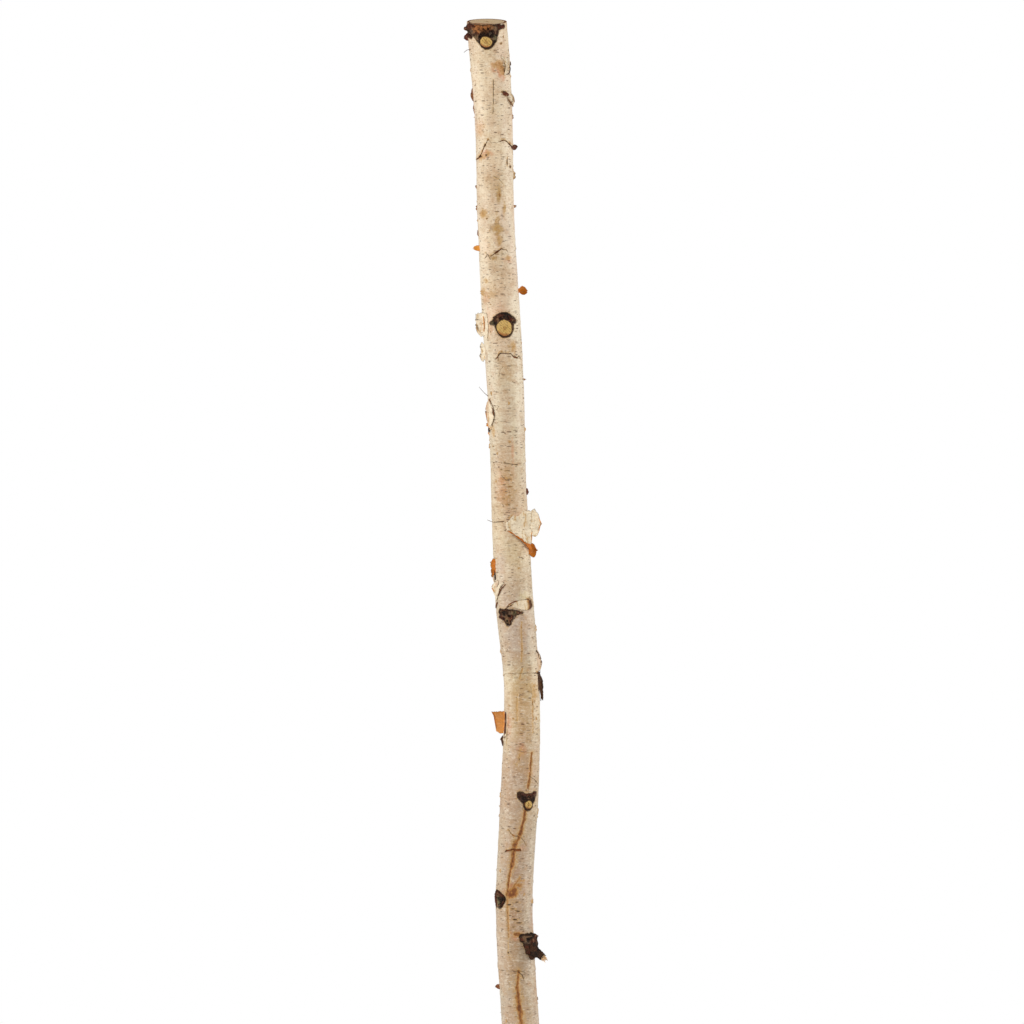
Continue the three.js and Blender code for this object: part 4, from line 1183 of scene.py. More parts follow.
def knot_bark(name):
    """A knot's rough bark: a ragged, cracked crust that dips under the papery bark outside its outline."""
    knot, look = KNOTS[name], KNOT_LOOKS[name]
    lobes = np.array(look["lobes"])
    low = np.minimum(lobes[:, 0:2], lobes[:, 2:4]) - lobes[:, 4:]
    high = np.maximum(lobes[:, 0:2], lobes[:, 2:4]) + lobes[:, 4:]
    low_u, low_v = low.min(0) - 3
    high_u, high_v = high.max(0) + 3
    high_v = min(high_v, LENGTH - knot.height)
    rows = int((high_v - low_v) / CELL)
    u, v = np.meshgrid(np.arange(low_u, high_u, CELL), np.linspace(low_v, high_v, rows))
    flat = np.stack([u, v, np.zeros_like(u)], -1)
    seed = 300 + 7 * list(KNOTS).index(name)
    edge = knot_edge(name, u, v)
    out = CRUST_EDGE + (knot.proud - CRUST_EDGE - SHRUNK) * (1 - step(-1.7, 0.5, edge))
    inside = 1 - step(-2.2, -0.4, edge)
    veins = np.maximum(0, 1 - abs(noise(flat, (4.6, 6.5, 1), seed, 3)) * 4)
    lumps = noise(flat, (3.4, 4.4, 1), seed + 1, 4)
    out += inside * (0.9 * lumps - 1.1 * veins * step(-0.3, 0.3, noise(flat, (9, 9, 1), seed + 2, 2)))
    for bu, bv, size, rise in look.get("bumps", []):
        out += rise * np.exp(-(((u - bu) ** 2 + (v - bv) ** 2) / size**2)) * inside
    # Partly painted highlight: the crust's raised lumps get a paler tint, for weathered crust and for light
    # catching their tops.
    ridge = inside * step(0.0, 0.75, lumps + 0.3 * noise(flat, (1.4, 1.4, 1), seed + 6, 2))
    colour = np.broadcast_to(BROWN_BARK, (*u.shape, 3)).copy()
    tone = noise(flat, (7, 7, 1), seed + 3, 3)
    colour = blend(colour, BLACK_BARK, step(0.0, 0.5, tone))
    colour = blend(colour, RED_BARK, 0.6 * step(0.1, 0.5, -tone))
    for pu, pv, size, patch in look["patches"]:
        near = np.hypot(u - pu, v - pv) / size + 0.6 * noise(flat, (3, 3, 1), seed + 4, 3)
        colour = blend(colour, patch, 0.75 * (1 - step(0.4, 1.1, near)))
    for hu, hv, size, depth in look["hollows"]:
        near = np.hypot(u - hu, v - hv) / size + 0.35 * noise(flat, (3, 3, 1), seed + 5, 2)
        hollow = 1 - step(0.45, 1.0, near)
        out -= depth * hollow * inside
        ridge *= 1 - hollow
        # Painted shade: each hollow is darkened to below the black bark's own colour.
        colour = blend(colour, BLACK_BARK * 0.6, 0.85 * hollow)
    colour = blend(colour, BLACK_BARK, 0.7 * veins * inside)
    colour = blend(colour, BLACK_BARK, 0.55 * np.exp(-((edge / 0.8) ** 2)))
    if look["cut"]:
        cu, cv, wide, tall = look["cut"]
        gap = (np.hypot((u - cu) / wide, (v - cv) / tall) - 1) * (wide + tall) / 2
        collar = np.exp(-(((gap - 0.8) / 0.8) ** 2))
        out = out * (1 - collar) + (knot.proud * 0.95 + 0.3 * lumps) * collar
        out = np.where(gap < -0.4, -0.6, out)
        colour = blend(colour, srgb(84, 50, 24), 0.6 * np.exp(-(((gap - 0.5) / 0.6) ** 2)))
    azimuth, height = knot.place(u, v)
    front = on_stem(azimuth, height, np.maximum(out, CRUST_EDGE))
    back = on_stem(azimuth, height, np.full(u.shape, CRUST_BACK))
    looks = {"ground": colour, "ridge": ridge}
    hidden = {"ground": colour * 0 + BLACK_BARK, "ridge": ridge * 0}
    points, faces, values = plate(front, back, looks, hidden)
    piece = mesh_object(f"{name}_crust", points, faces, values)
    finish_piece(piece, LOOKS["rough"], "knot_bark", f"{name}_bark")


def knot_wood(name):
    """The sawn branch in a knot: a face with rings, a check and a rough rim, and the stub behind it."""
    knot, look = KNOTS[name], KNOT_LOOKS[name]
    cu, cv, wide, tall = look["cut"] or (0.0, 0.0, 3.5, 3.5)
    face_out = knot.proud + 0.3 if look["cut"] else HIDDEN_FACE
    azimuth = circle(120)
    face_shares = np.linspace(0.03, 1, 40)
    share, around = np.meshgrid(np.append(face_shares, [1.02, 1.0, 0.9]), azimuth, indexing="ij")
    seed = 400 + list(KNOTS).index(name)
    compass = np.stack([np.sin(around), np.cos(around), 0 * around], -1)
    uneven = 1 + 0.06 * noise(compass * 2, (1, 1, 1), seed, 2)
    u = cu + share * np.sin(around) * wide * uneven
    v = cv + share * np.cos(around) * tall * uneven
    flat = np.stack([u, v, 0 * u], -1)
    reach = share * (wide + tall) / 2
    bevel = np.append(0.3 * step(0.88, 1.0, face_shares), [1.0, 2.0, 4.0])[:, None]
    dip = 0.14 * noise(flat, (1.2, 6, 1), seed, 3) + 0.12 * noise(flat, (5, 1.4, 1), seed + 1, 2)
    crack = 0 * share
    for angle in (1.1 * seed, 1.1 * seed + 2.3):
        bent = turn(around - angle - 0.3 * noise(flat, (3, 3, 1), seed + 2, 2))
        crack += np.exp(-((bent * reach / 0.25) ** 2)) * (1 - step(0.5, 0.85, share)) * step(0.02, 0.2, share)
    points, faces = closed_tube(on_stem(*knot.place(u, v), face_out - bevel - abs(dip) - 0.6 * crack))
    edge = np.exp(-(((1 - share) * (wide + tall) / 2 / 0.5) ** 2))
    stained = step(0.1, 1.0, np.sin(around + 4.4)) * step(0.35, 0.95, share)
    values = {"reach": reach, "dark": np.maximum(0.75 * edge, 0.8 * crack), "rust": 0.8 * stained}
    values = {key: np.append(value, [value[0, 0], value[-1, 0]]) for key, value in values.items()}
    piece = mesh_object(f"{name}_sawn", points, faces, values)
    finish_piece(piece, LOOKS["branch"], "branch_wood", f"{name}_wood")


for knot_name in KNOTS:
    knot_bark(knot_name)
    if knot_name != "knot_twig":
        knot_wood(knot_name)


# ---- the broken twig
RIDGES_ROUND = 11  # ridges round a tube
SPLINTERS = 26
DARK_SPLINTERS = (5, 11)  # which of them are dark


def tube(path, thick, sides, seed, rough, ridges):
    """A closed, ridged, tapering tube along a path. thick is its radius at each point of the path."""
    thick = np.array(thick)[:, None, None]
    ahead = np.gradient(path, axis=0)
    ahead /= np.linalg.norm(ahead, axis=1)[:, None]
    side = np.cross(ahead, [0.0, 0.3, 1.0])
    side /= np.linalg.norm(side, axis=1)[:, None]
    over = np.cross(side, ahead)
    angle = circle(sides)
    ring = side[:, None] * np.cos(angle)[None, :, None] + over[:, None] * np.sin(angle)[None, :, None]
    base = path[:, None] + ring * thick
    swing = rough * noise(base, (3, 3, 3), seed, 3)
    swing += ridges * abs(np.sin(angle * RIDGES_ROUND / 2 + 0.8 * noise(base, (9, 9, 9), seed + 1, 2)))
    return closed_tube(base + ring * (swing - ridges * 0.5)[..., None] * np.minimum(thick, 2) / 2)


def curve_through(points, count):
    """count places along a smooth line through a few points."""
    points = np.array(points, float)
    at = np.linspace(0, len(points) - 1, count)
    rows = [smooth(np.interp(at, np.arange(len(points)), points[:, axis]), max(count // 14, 1))
            for axis in range(points.shape[1])]
    return np.stack(rows, -1)


def on_knot(knot, turned, over, out):
    """A point near a knot: so much further round, higher up and out of the bark."""
    return on_stem(*(np.array(value) for value in (knot.azimuth + turned, knot.height + over, out)))


def twig():
    """The broken twig: its ridged bark, its splintered pale wood and the lobe that grips the stem."""
    knot = KNOTS["knot_twig"]
    wood = corners("knot_twig_wood")
    around, distance, _ = place_of(wood)
    tip = wood[distance > distance.max() - 2.5].mean(0)
    shoulder = on_knot(knot, 0.02, -2.0, 3.5)
    ahead = (tip - shoulder) / np.linalg.norm(tip - shoulder)
    elbow = shoulder + ahead * 8 + np.array([0, 0, -0.5])
    middle_line = curve_through([on_knot(knot, 0, 3.0, -3.0), shoulder, elbow, tip - ahead * 6.5], 60)
    at = np.linspace(0, 1, 60)
    thick = smooth(np.interp(at, [0, 0.3, 0.55, 0.8, 0.97, 1], [8.6, 8.0, 6.0, 4.6, 4.4, 3.6]), 2)
    upright = np.cross(ahead, [0.0, 1.0, 0.0])
    lengthwise = np.stack([ahead, np.cross(upright, ahead), upright], -1)
    sideways = np.cross(ahead, [0, 0, 1.0])
    sideways /= np.linalg.norm(sideways)
    upward = np.cross(sideways, ahead)
    parts = Parts()

    def aside(spin):
        """A direction square to the twig."""
        return sideways * math.cos(spin) + upward * math.sin(spin)

    def add_bark(path, thickness, sides, seed, rough, ridges, tone_seed):
        """Adds a tube with the twig's dark, lengthwise ridged bark."""
        points, faces = tube(path, thickness, sides, seed, rough, ridges)
        tone = noise(points, (6, 6, 6), tone_seed, 3)
        colour = blend(np.broadcast_to(BROWN_BARK, points.shape), BLACK_BARK, step(-0.3, 0.2, tone))
        ridge = 0.5 * step(0.1, 0.7, noise(points @ lengthwise, (7.0, 1.3, 1.3), tone_seed + 1, 3))
        parts.add(points, faces, ground=colour, ridge=ridge)

    add_bark(middle_line, thick, 96, 510, 0.5, 0.55, 511)
    places = ((-0.02, 2, 3.0), (0.02, -6, 4.0), (0.06, -12, 2.8), (0.09, -15.5, 0.6))
    grip = curve_through([on_knot(knot, *place) for place in places], 40)
    thick = np.interp(np.linspace(0, 1, 40), [0, 0.5, 0.85, 1], [5.5, 4.6, 3.2, 1.6])
    add_bark(grip, thick, 64, 520, 0.5, 0.55, 521)
    rim = tip - ahead * 7.5
    for spin, length, thickness in ((0.4, 4.5, 0.9), (2.1, 3.0, 0.8), (3.6, 4.0, 0.7), (5.1, 2.6, 0.8)):
        start = rim + aside(spin) * 3.4
        tear = [start - ahead * 2, start + ahead * length * 0.6, start + ahead * length + aside(spin) * 0.8]
        seed = 530 + int(spin * 10)
        add_bark(curve_through(tear, 16), np.linspace(thickness, 0.15, 16), 12, seed, 0.3, 0.1, 531)
    finish_piece(parts.make("knot_twig_ridges"), LOOKS["rough"], "knot_bark")

    splinters = Parts()
    generator = np.random.default_rng(12)
    for n in range(SPLINTERS):
        spin = generator.uniform(0, 2 * math.pi)
        offset = aside(spin) * (2.7 * math.sqrt(generator.uniform(0, 1)))
        length = generator.uniform(3.5, 7.5) if n % 5 else generator.uniform(7.0, 9.0)
        lean = offset * generator.uniform(0.0, 0.35)
        droop = np.array([0, 0, -1.6]) * generator.uniform(0, 1)
        path = [rim - ahead * 4 + offset, rim + ahead * length * 0.5 + offset,
                rim + ahead * length + offset + lean + droop]
        size = generator.uniform(0.7, 1.25)
        points, faces = tube(curve_through(path, 14), np.linspace(size, 0.12, 14), 8, 560 + n, 0.25, 0.1)
        every = np.ones(len(points))
        reach = generator.uniform(0, 6) * every
        rust = generator.uniform(0, 0.25) * every
        dark = (0.55 if n in DARK_SPLINTERS else 0.0) * every
        splinters.add(points, faces, reach=reach, rust=rust, dark=dark)
    finish_piece(splinters.make("knot_twig_splinters"), LOOKS["torn"], "branch_wood", "knot_twig_wood")


twig()


# ---- the loose peels
# The look of a peel's face. bold is how much of the bark's mottling its own colour covers.
Look = namedtuple("Look", "colour rust dark bold")
PAPER = Look(srgb(238, 220, 190), 0.05, 0.0, 0.2)
PINK = Look(srgb(226, 198, 168), 0.2, 0.0, 0.3)
CREAM = Look(srgb(246, 230, 200), 0.0, 0.0, 0.2)
ORANGE = Look(srgb(220, 142, 50), 0.1, 0.0, 0.9)
DEEP = Look(srgb(196, 108, 14), 0.1, 0.0, 0.9)
BROWN = Look(srgb(116, 60, 24), 0.1, 0.1, 0.9)
MAROON = Look(srgb(88, 28, 14), 0.0, 0.1, 0.9)
UMBER = Look(srgb(60, 28, 12), 0.0, 0.15, 0.9)
TAWNY = Look(srgb(222, 148, 76), 0.1, 0.0, 0.9)
# Outlines of peels: their upper and lower edge, as the share of the reach and of the half height.
SQUARE = ([(0, 1), (0.9, 0.96), (1, 0.85)], [(0, -1), (0.9, -0.96), (1, -0.85)])
LEAF = ([(0, 1), (0.4, 0.95), (0.75, 0.7), (1, 0.2)], [(0, -1), (0.4, -0.9), (0.75, -0.6), (1, -0.15)])
DISC = ([(0, 0.45), (0.25, 0.85), (0.5, 1), (0.8, 0.8), (1, 0.3)],
        [(0, -0.45), (0.25, -0.85), (0.5, -1), (0.8, -0.8), (1, -0.3)])
TAIL = ([(0, 1), (0.5, 0.8), (1, 0.35)], [(0, -1), (0.3, -0.95), (0.7, -0.5), (1, 0.1)])
HANG = ([(0, 0.8), (0.5, 1), (1, 0.6)], [(0, -0.7), (0.4, -1), (0.8, -0.9), (1, -0.5)])
FLAG = ([(0, 0.35), (0.2, 0.9), (0.45, 1), (0.7, 0.75), (1, 0.5)],
        [(0, 0.0), (0.3, 0.0), (0.5, -0.35), (0.65, -1), (0.85, -0.9), (1, -0.2)])
SLANT = ([(0, 1), (0.35, 0.9), (0.7, 0.3), (1, -0.35)],
         [(0, 0.55), (0.3, 0.1), (0.6, -0.6), (0.85, -1), (1, -0.95)])
DROOP = ([(0, 0.9), (0.3, 1), (0.7, 0.7), (1, 0.55)], [(0, -0.5), (0.4, -0.8), (0.8, -1), (1, -0.85)])
STRIP = ([(0, 1), (0.6, 0.9), (1, 0.5)], [(0, -0.2), (0.4, -0.8), (0.8, -1), (1, -1)])
RAGGED = ([(0, 1), (0.5, 0.97), (1, 0.9)], [(0, -0.9), (0.4, -1), (0.8, -0.75), (1, -0.3)])
BAND = ([(0, 0.1), (0.4, 0.8), (0.75, 1), (1, 0.7)], [(0, -1.3), (0.3, -1.7), (0.7, -2.1), (1, -1.5)])
TAB = ([(0, 1), (1, 1.0)], [(0, -0.98), (0.35, -0.95), (0.62, -0.8), (0.7, -0.2), (0.85, 0.55), (1, 0.98)])
BIG_SHEET = ([(0, 0.05), (0.17, 0.5), (0.34, 0.48), (0.45, 0.78), (0.56, 0.88), (0.7, 0.84), (0.82, 1.0),
              (0.93, 0.62), (1, -0.05)],
             [(0, -0.7), (0.15, -0.82), (0.38, -1.2), (0.56, -1.5), (0.68, -1.55), (0.71, -0.9),
              (0.8, -1.0), (0.86, -0.95), (0.94, -0.5), (1, -0.15)])
# Each peel: side, reach, lift and curl in degrees, outline, raggedness, outer look and inner look. They
# are close to the CAD part's own, so that the peel stays in the same space.
PEELS = {
    "peel_top_flake": (-1, 6, 35, 40, LEAF, 0.4, MAROON, MAROON),
    "peel_top_right": (1, 7, 12, 100, FLAG, 0.2, CREAM, BROWN),
    "peel_rolled_right": (1, 7.5, 14, 110, SLANT, 0.15, CREAM, BROWN),
    "peel_top_left": (-1, 4, 20, 30, LEAF, 0.4, BROWN, BROWN),
    "peel_lip_right": (1, 7, 15, 80, DISC, 0.05, MAROON, MAROON),
    "peel_chip_left": (-1, 8, 35, 30, LEAF, 0.3, ORANGE, ORANGE),
    "peel_orange_disc": (1, 10.5, 55, 40, DISC, 0.15, DEEP, ORANGE),
    "peel_flake_left": (-1, 11, 30, 25, RAGGED, 0.2, CREAM, PINK),
    "peel_sliver_left": (-1, 7, 35, 20, HANG, 0.25, CREAM, PINK),
    "peel_flap_left": (-1, 8, 12, 10, TAIL, 0.2, PINK, ORANGE),
    "peel_sliver_right": (1, 3.5, 30, 20, LEAF, 0.3, MAROON, MAROON),
    "peel_big_sheet": (1, 43, 2, 12, BIG_SHEET, 0.05, CREAM, ORANGE),
    "peel_big_tongue": (1, 11, 22, 60, DISC, 0.25, DEEP, DEEP),
    "peel_curl_left": (-1, 5.5, 22, 70, DROOP, 0.3, DEEP, PINK),
    "peel_flap_low_left": (-1, 8, 14, 30, TAIL, 0.4, CREAM, ORANGE),
    "peel_band_middle": (1, 24, 2, 20, BAND, 0.12, PAPER, BROWN),
    "peel_edge_right": (1, 6, 15, 20, LEAF, 0.4, PINK, BROWN),
    "peel_dark_right": (1, 4.6, 30, 60, STRIP, 0.15, UMBER, MAROON),
    "peel_orange_tab": (-1, 15, 72, 8, TAB, 0.05, TAWNY, TAWNY),
    "peel_stalk_left": (-1, 4, 40, 10, TAIL, 0.3, UMBER, UMBER),
    "peel_chip_foot": (-1, 5, 40, 30, LEAF, 0.3, BROWN, ORANGE),
    "peel_back_high": (1, 20, 10, 130, SQUARE, 0.3, PAPER, ORANGE),
    "peel_back_middle": (1, 24, 8, 60, HANG, 0.3, CREAM, ORANGE),
    "peel_back_low": (-1, 8, 12, 90, HANG, 0.3, PAPER, DEEP),
    "peel_foot_front": (1, 22, 8, 90, HANG, 0.3, PAPER, ORANGE),
}
# How rusty the worn ends of some peels are.
PEEL_ENDS = {"peel_band_middle": 1.2, "peel_rolled_right": 0.9, "peel_curl_left": 0.8, "peel_top_right": 0.6}
ROOT = 3.0  # how far a peel runs under the bark before it leaves it
PEEL_THICK = 0.42
RIBBON_THICK = 0.4
SHEET_GRAIN = 0.45  # the finest detail of a peel

# Narrow strips at a peel: points of azimuth in degrees, height, how far out and half width; their look.
RIBBONS = {
    "peel_big_tongue": [
        ([(-10, 889, 0.2, 0.5), (6, 886, 0.9, 1.1), (24, 881, 1.5, 1.6), (42, 876, 2.0, 2.2),
          (58, 870, 2.8, 3.2), (68, 866, 3.4, 2.4)], DEEP),
    ],
    "peel_band_middle": [
        ([(-30, 794, 0.2, 0.3), (-20, 799, 0.6, 0.5), (-6, 802.5, 0.8, 0.6), (8, 804, 1.0, 0.6),
          (18, 804, 1.2, 0.5)], BROWN),
    ],
    "peel_stalk_left": [
        ([(-76, 646, 0.3, 3.0), (-70, 642, 0.8, 3.4), (-64, 639, 0.3, 3.6)], CREAM),
    ],
    "peel_edge_right": [
        ([(66, 744, 0.2, 0.5), (76, 740, 0.8, 0.7), (84, 728, 1.0, 0.8), (86, 716, 0.8, 0.6)], UMBER),
    ],
    "peel_dark_right": [
        ([(62, 716, 0.4, 1.2), (72, 717, 0.9, 1.8), (80, 713, 1.3, 1.7), (84, 704, 1.3, 1.2),
          (87, 692, 1.3, 1.0), (86, 682, 0.9, 0.6)], UMBER),
    ],
    "peel_orange_tab": [
        ([(-64, 669, 0.9, 0.8), (-63, 657, 1.0, 1.1), (-65, 646, 0.9, 1.3), (-68, 638, 0.8, 1.0)], MAROON),
    ],
    "peel_flap_left": [
        ([(-62, 1047, 0.4, 0.5), (-54, 1041, 0.9, 0.8), (-45, 1034, 1.1, 0.7), (-41, 1028, 1.0, 0.6),
          (-46, 1024, 0.6, 0.4)], BROWN),
        ([(-62, 1044, 0.5, 2.2), (-56, 1036, 1.2, 4.0), (-54, 1026, 1.5, 4.4), (-60, 1014, 1.0, 3.0)], CREAM),
        ([(-80, 1012, 0.6, 1.0), (-74, 1008, 1.3, 2.3), (-66, 1012, 0.8, 1.2)], UMBER),
    ],
    "peel_flake_left": [
        ([(-66, 1146, 0.3, 0.5), (-62, 1140, 0.7, 0.8), (-64, 1133, 0.8, 0.7), (-68, 1128, 0.4, 0.4)],
         ORANGE),
        ([(-52, 1150, 0.3, 1.2), (-48, 1140, 0.9, 2.2), (-50, 1128, 0.9, 2.0), (-54, 1118, 0.5, 1.2)], CREAM),
    ],
    "peel_curl_left": [
        ([(-82, 840, 1.0, 1.6), (-78, 836, 1.6, 2.4), (-76, 830, 1.6, 2.2), (-74, 825, 0.8, 1.2)], PINK),
        ([(-70, 841, 0.4, 0.6), (-66, 836, 0.9, 0.9), (-66, 829, 0.7, 0.8)], UMBER),
    ],
    "peel_flap_low_left": [
        ([(-30, 826, 0.3, 0.9), (-44, 822, 1.1, 1.8), (-56, 814, 1.4, 2.4), (-68, 805, 0.9, 1.6)], CREAM),
        ([(-24, 824, 0.3, 0.3), (-40, 818, 0.8, 0.5), (-54, 810, 0.9, 0.4)], BROWN),
        ([(-62, 802, 0.5, 0.7), (-70, 798, 0.9, 1.3), (-78, 795, 0.6, 1.0)], BROWN),
        ([(-52, 828, 0.3, 1.6), (-60, 824, 0.9, 2.6), (-70, 818, 0.9, 2.0)], PINK),
    ],
}
# Rolls of bark at a peel: points of azimuth in degrees, height, how far out and thickness; their look.
ROLLS = {
    "peel_top_right": [
        ([(36, 1458, 0.4, 1.0), (46, 1455, 1.4, 2.0), (54, 1448, 1.8, 2.6), (50, 1441, 1.6, 2.2),
          (42, 1436, 0.6, 1.0)], CREAM),
        ([(50, 1452, 2.0, 0.4), (58, 1449, 2.8, 0.6), (62, 1443, 3.0, 0.7), (54, 1437, 2.6, 0.6),
          (44, 1437, 1.6, 0.5)], UMBER),
        ([(60, 1447, 2.0, 0.6), (68, 1448, 2.2, 0.7), (74, 1452, 1.2, 0.5)], UMBER),
    ],
    "peel_rolled_right": [
        ([(32, 1414, 0.2, 1.2), (40, 1413.5, 1.2, 2.4), (48, 1412, 1.6, 2.0)], MAROON),
        ([(46, 1414, 0.8, 1.8), (56, 1409, 1.8, 2.5), (66, 1404, 2.2, 2.4), (74, 1400, 1.4, 1.2)], CREAM),
        ([(50, 1406.5, 1.0, 0.5), (62, 1402, 2.4, 0.6), (74, 1398, 1.8, 0.5)], BROWN),
    ],
    "peel_band_middle": [
        ([(50, 808, 0.2, 1.0), (60, 806, 0.8, 1.4), (66, 801, 0.8, 1.2), (64, 796, 0.3, 0.8)], PAPER),
    ],
}
# Loose fibres at a peel: points of azimuth in degrees, height and how far out; their thickness.
FIBRES = {
    "peel_big_sheet": [([(-20, 900, 0.3), (-44, 899, 0.8), (-62, 898.5, 1.6), (-78, 901, 6.0)], 0.42)],
    "peel_flap_left": [([(-70, 1050, 0.3), (-78, 1054, 4.0), (-82, 1061, 9.5)], 0.35)],
    "peel_top_flake": [([(-66, 1467, 0.2), (-80, 1466, 3.0), (-84, 1463, 6.4)], 0.4)],
}


def ribbon(points, look, seed):
    """A narrow strip of bark along a line on the stem, slightly bowed and torn at its edges."""
    degrees, height, out, half = curve_through(points, 40).T[..., None]
    across = np.gradient(np.radians(degrees) * MEAN_RADIUS, axis=0)
    up = np.gradient(height, axis=0)
    run = np.hypot(across, up)
    t = np.linspace(-1, 1, 9)[None, :]
    place = np.stack([degrees / 3 + 0 * t, t + height / 3, 0 * t * degrees + seed], -1)
    aside = half * t * (1 + 0.35 * noise(place, (2, 1, 1), seed, 3))
    level = height + aside * across / run
    azimuth = np.radians(degrees) - aside * up / run / MEAN_RADIUS
    above = out + 0.5 * (1 - t**2) + 0.2 * noise(place, (1.5, 1, 1), seed + 1, 2)
    flat = 0 * level
    edge = (0.4 if look.bold > 0.5 else 0.1) * (abs(t) > 0.9)
    values = {
        "ground": look.colour * (1 + 0.15 * noise(place, (3, 1, 1), seed + 2, 2)[..., None]),
        "rust": look.rust + flat,
        "dark": look.dark + edge + flat,
        "bold": look.bold + flat,
    }
    back = on_stem(azimuth, level, above - RIBBON_THICK)
    points, faces, values = plate(on_stem(azimuth, level, above), back, values, values)
    return points, triangles(faces), values


def roll(points, look, seed):
    """A rolled-up strip of bark, with darker streaks along it."""
    degrees, height, out, thickness = curve_through(points, 36).T
    points, faces = tube(on_stem(np.radians(degrees), height, out), thickness, 24, seed, 0.25, 0.12)
    tone = 1 + 0.15 * noise(points, (3, 3, 3), seed + 3, 3)
    streak = step(0.25, 0.6, noise(points, (1.2, 1.2, 6), seed + 4, 3))
    every = np.ones(len(points))
    return points, faces, {
        "ground": look.colour * tone[:, None],
        "rust": look.rust * every + 0.5 * streak,
        "dark": look.dark * every,
        "bold": look.bold * every,
    }


def fibre(points, thickness, seed):
    """A thin dark fibre that stands off the bark."""
    degrees, height, out = curve_through(points, 30).T
    taper = thickness * np.linspace(1.0, 0.6, 30)
    points, faces = tube(on_stem(np.radians(degrees), height, out), taper, 8, seed, 0.15, 0.05)
    every = np.ones(len(points))
    looks = {"ground": UMBER.colour + 0 * points, "rust": every, "dark": 0.7 * every, "bold": every}
    return points, faces, looks


def peel(name, side, reach, lift, curl, outline, ragged, outside, inside):
    """A loose strip of bark that leaves the stem, curls away, and ends in a torn edge."""
    around, distance, height = place_of(corners(name))
    nearest = distance.argmin()
    azimuth, start = around[nearest], distance[nearest] - 0.1
    middle, half = (height.min() + height.max()) / 2, (height.max() - height.min()) / 2
    columns = max(int(half * 2.4 / SHEET_GRAIN), 12)
    rows = max(int((reach + ROOT) / SHEET_GRAIN), 14)
    seed = 600 + 11 * list(PEELS).index(name)
    t = np.linspace(0, 1, columns)[None, :]
    along_edge = np.stack([t * half * 2, 0 * t, 0 * t], -1)
    torn = noise(along_edge, (3.5, 1, 1), seed, 4)
    own_reach = (reach * (1 - ragged * (0.5 + 0.5 * torn).clip(0, 1)))[0]
    wave = noise(along_edge, (9, 1, 1), seed + 1, 2)[0]
    share = np.linspace(-ROOT / reach, 1, rows)[:, None] * np.ones_like(t)
    along = np.maximum(share, 0)
    top = np.interp(along, *zip(*outline[0]))
    bottom = np.interp(along, *zip(*outline[1]))
    scraps = np.stack([share * reach, 0 * share, 0 * share + seed], -1)
    top = top + 0.05 * noise(scraps, (2.5, 1, 1), seed + 2, 4)
    bottom = bottom + 0.05 * noise(scraps, (2.5, 1, 1), seed + 3, 4)
    z = middle + half * (bottom * (1 - t) + top * t)
    lift_here = np.radians(lift * (1 + 0.25 * wave))
    curl_here = np.radians(curl * (1 + 0.3 * wave))
    x = np.zeros(share.shape)
    y = np.full(share.shape, -start)
    x[0] = side * share[0] * own_reach
    for row in range(1, rows):
        heading = lift_here + curl_here * (along[row] + along[row - 1]) / 2
        heading = np.where(share[row] <= 0, 0.0, heading)
        length = (share[row] - share[row - 1]) * own_reach
        x[row] = x[row - 1] + side * np.cos(heading) * length
        y[row] = y[row - 1] - np.sin(heading) * length
    flat = np.stack([x, z, 0 * x], -1)
    sink = np.where(share < 0, (share * reach / ROOT) ** 2 * 1.6 + (share * reach) ** 2 / (2 * start), 0)
    y = y + sink + 0.25 * noise(flat, (7, 7, 1), seed + 4, 2) * step(0, 3, share * reach)
    turned_x = x * math.cos(azimuth) - y * math.sin(azimuth)
    turned_y = x * math.sin(azimuth) + y * math.cos(azimuth)
    cx, cy = centre(z)
    front = np.stack([turned_x + cx, turned_y + cy, z], -1)
    normal = np.cross(np.gradient(front, axis=0), np.gradient(front, axis=1))
    normal /= np.maximum(np.linalg.norm(normal, axis=-1, keepdims=True), 1e-9)
    away = np.stack([turned_x, turned_y, 0 * z], -1)
    if (normal[2] * away[2]).sum() < 0:
        normal = -normal
    back = front - normal * PEEL_THICK
    paper = outside.colour * (1 + 0.12 * noise(flat, (6, 4, 1), seed + 5, 3)[..., None])
    lining = inside.colour * (1 + 0.2 * noise(flat, (5, 4, 1), seed + 6, 3)[..., None])
    rim = np.minimum(np.minimum(t, 1 - t) * half * 2, (1 - share) * reach)
    dark_edge = 0.7 * np.exp(-((rim / 0.6) ** 2)) * step(-0.3, 0.4, noise(flat, (5, 5, 1), seed + 7, 2) + 0.3)
    patchy = 0.5 * step(0.0, 0.6, noise(flat, (2.5, 8, 1), seed + 8, 3))
    worn_end = PEEL_ENDS.get(name, 0) * step(0.62, 0.95, share)
    front_values, back_values = (
        {
            "ground": colour,
            "rust": np.maximum(np.maximum(look.rust, patchy * (look.bold < 0.5)), worn_end),
            "dark": np.maximum(np.maximum(look.dark, dark_edge), worn_end - 0.5),
            "bold": look.bold + 0 * share,
        }
        for colour, look in ((paper, outside), (lining, inside))
    )
    if side < 0:
        front, back = front[:, ::-1], back[:, ::-1]
        front_values, back_values = (
            {key: value[:, ::-1] for key, value in values.items()} for values in (front_values, back_values)
        )
    points, faces, values = plate(front, back, front_values, back_values)
    parts = Parts()
    parts.add(points, triangles(faces), **values)
    for table, make, extra in ((RIBBONS, ribbon, 9), (ROLLS, roll, 8), (FIBRES, fibre, 10)):
        for line, look in table.get(name, []):
            points, faces, values = make(line, look, seed + extra)
            parts.add(points, faces, **values)
    finish_piece(parts.make(f"{name}_curl"), LOOKS["bark"], "peel", name)


for peel_name, peel_look in PEELS.items():
    peel(peel_name, *peel_look)


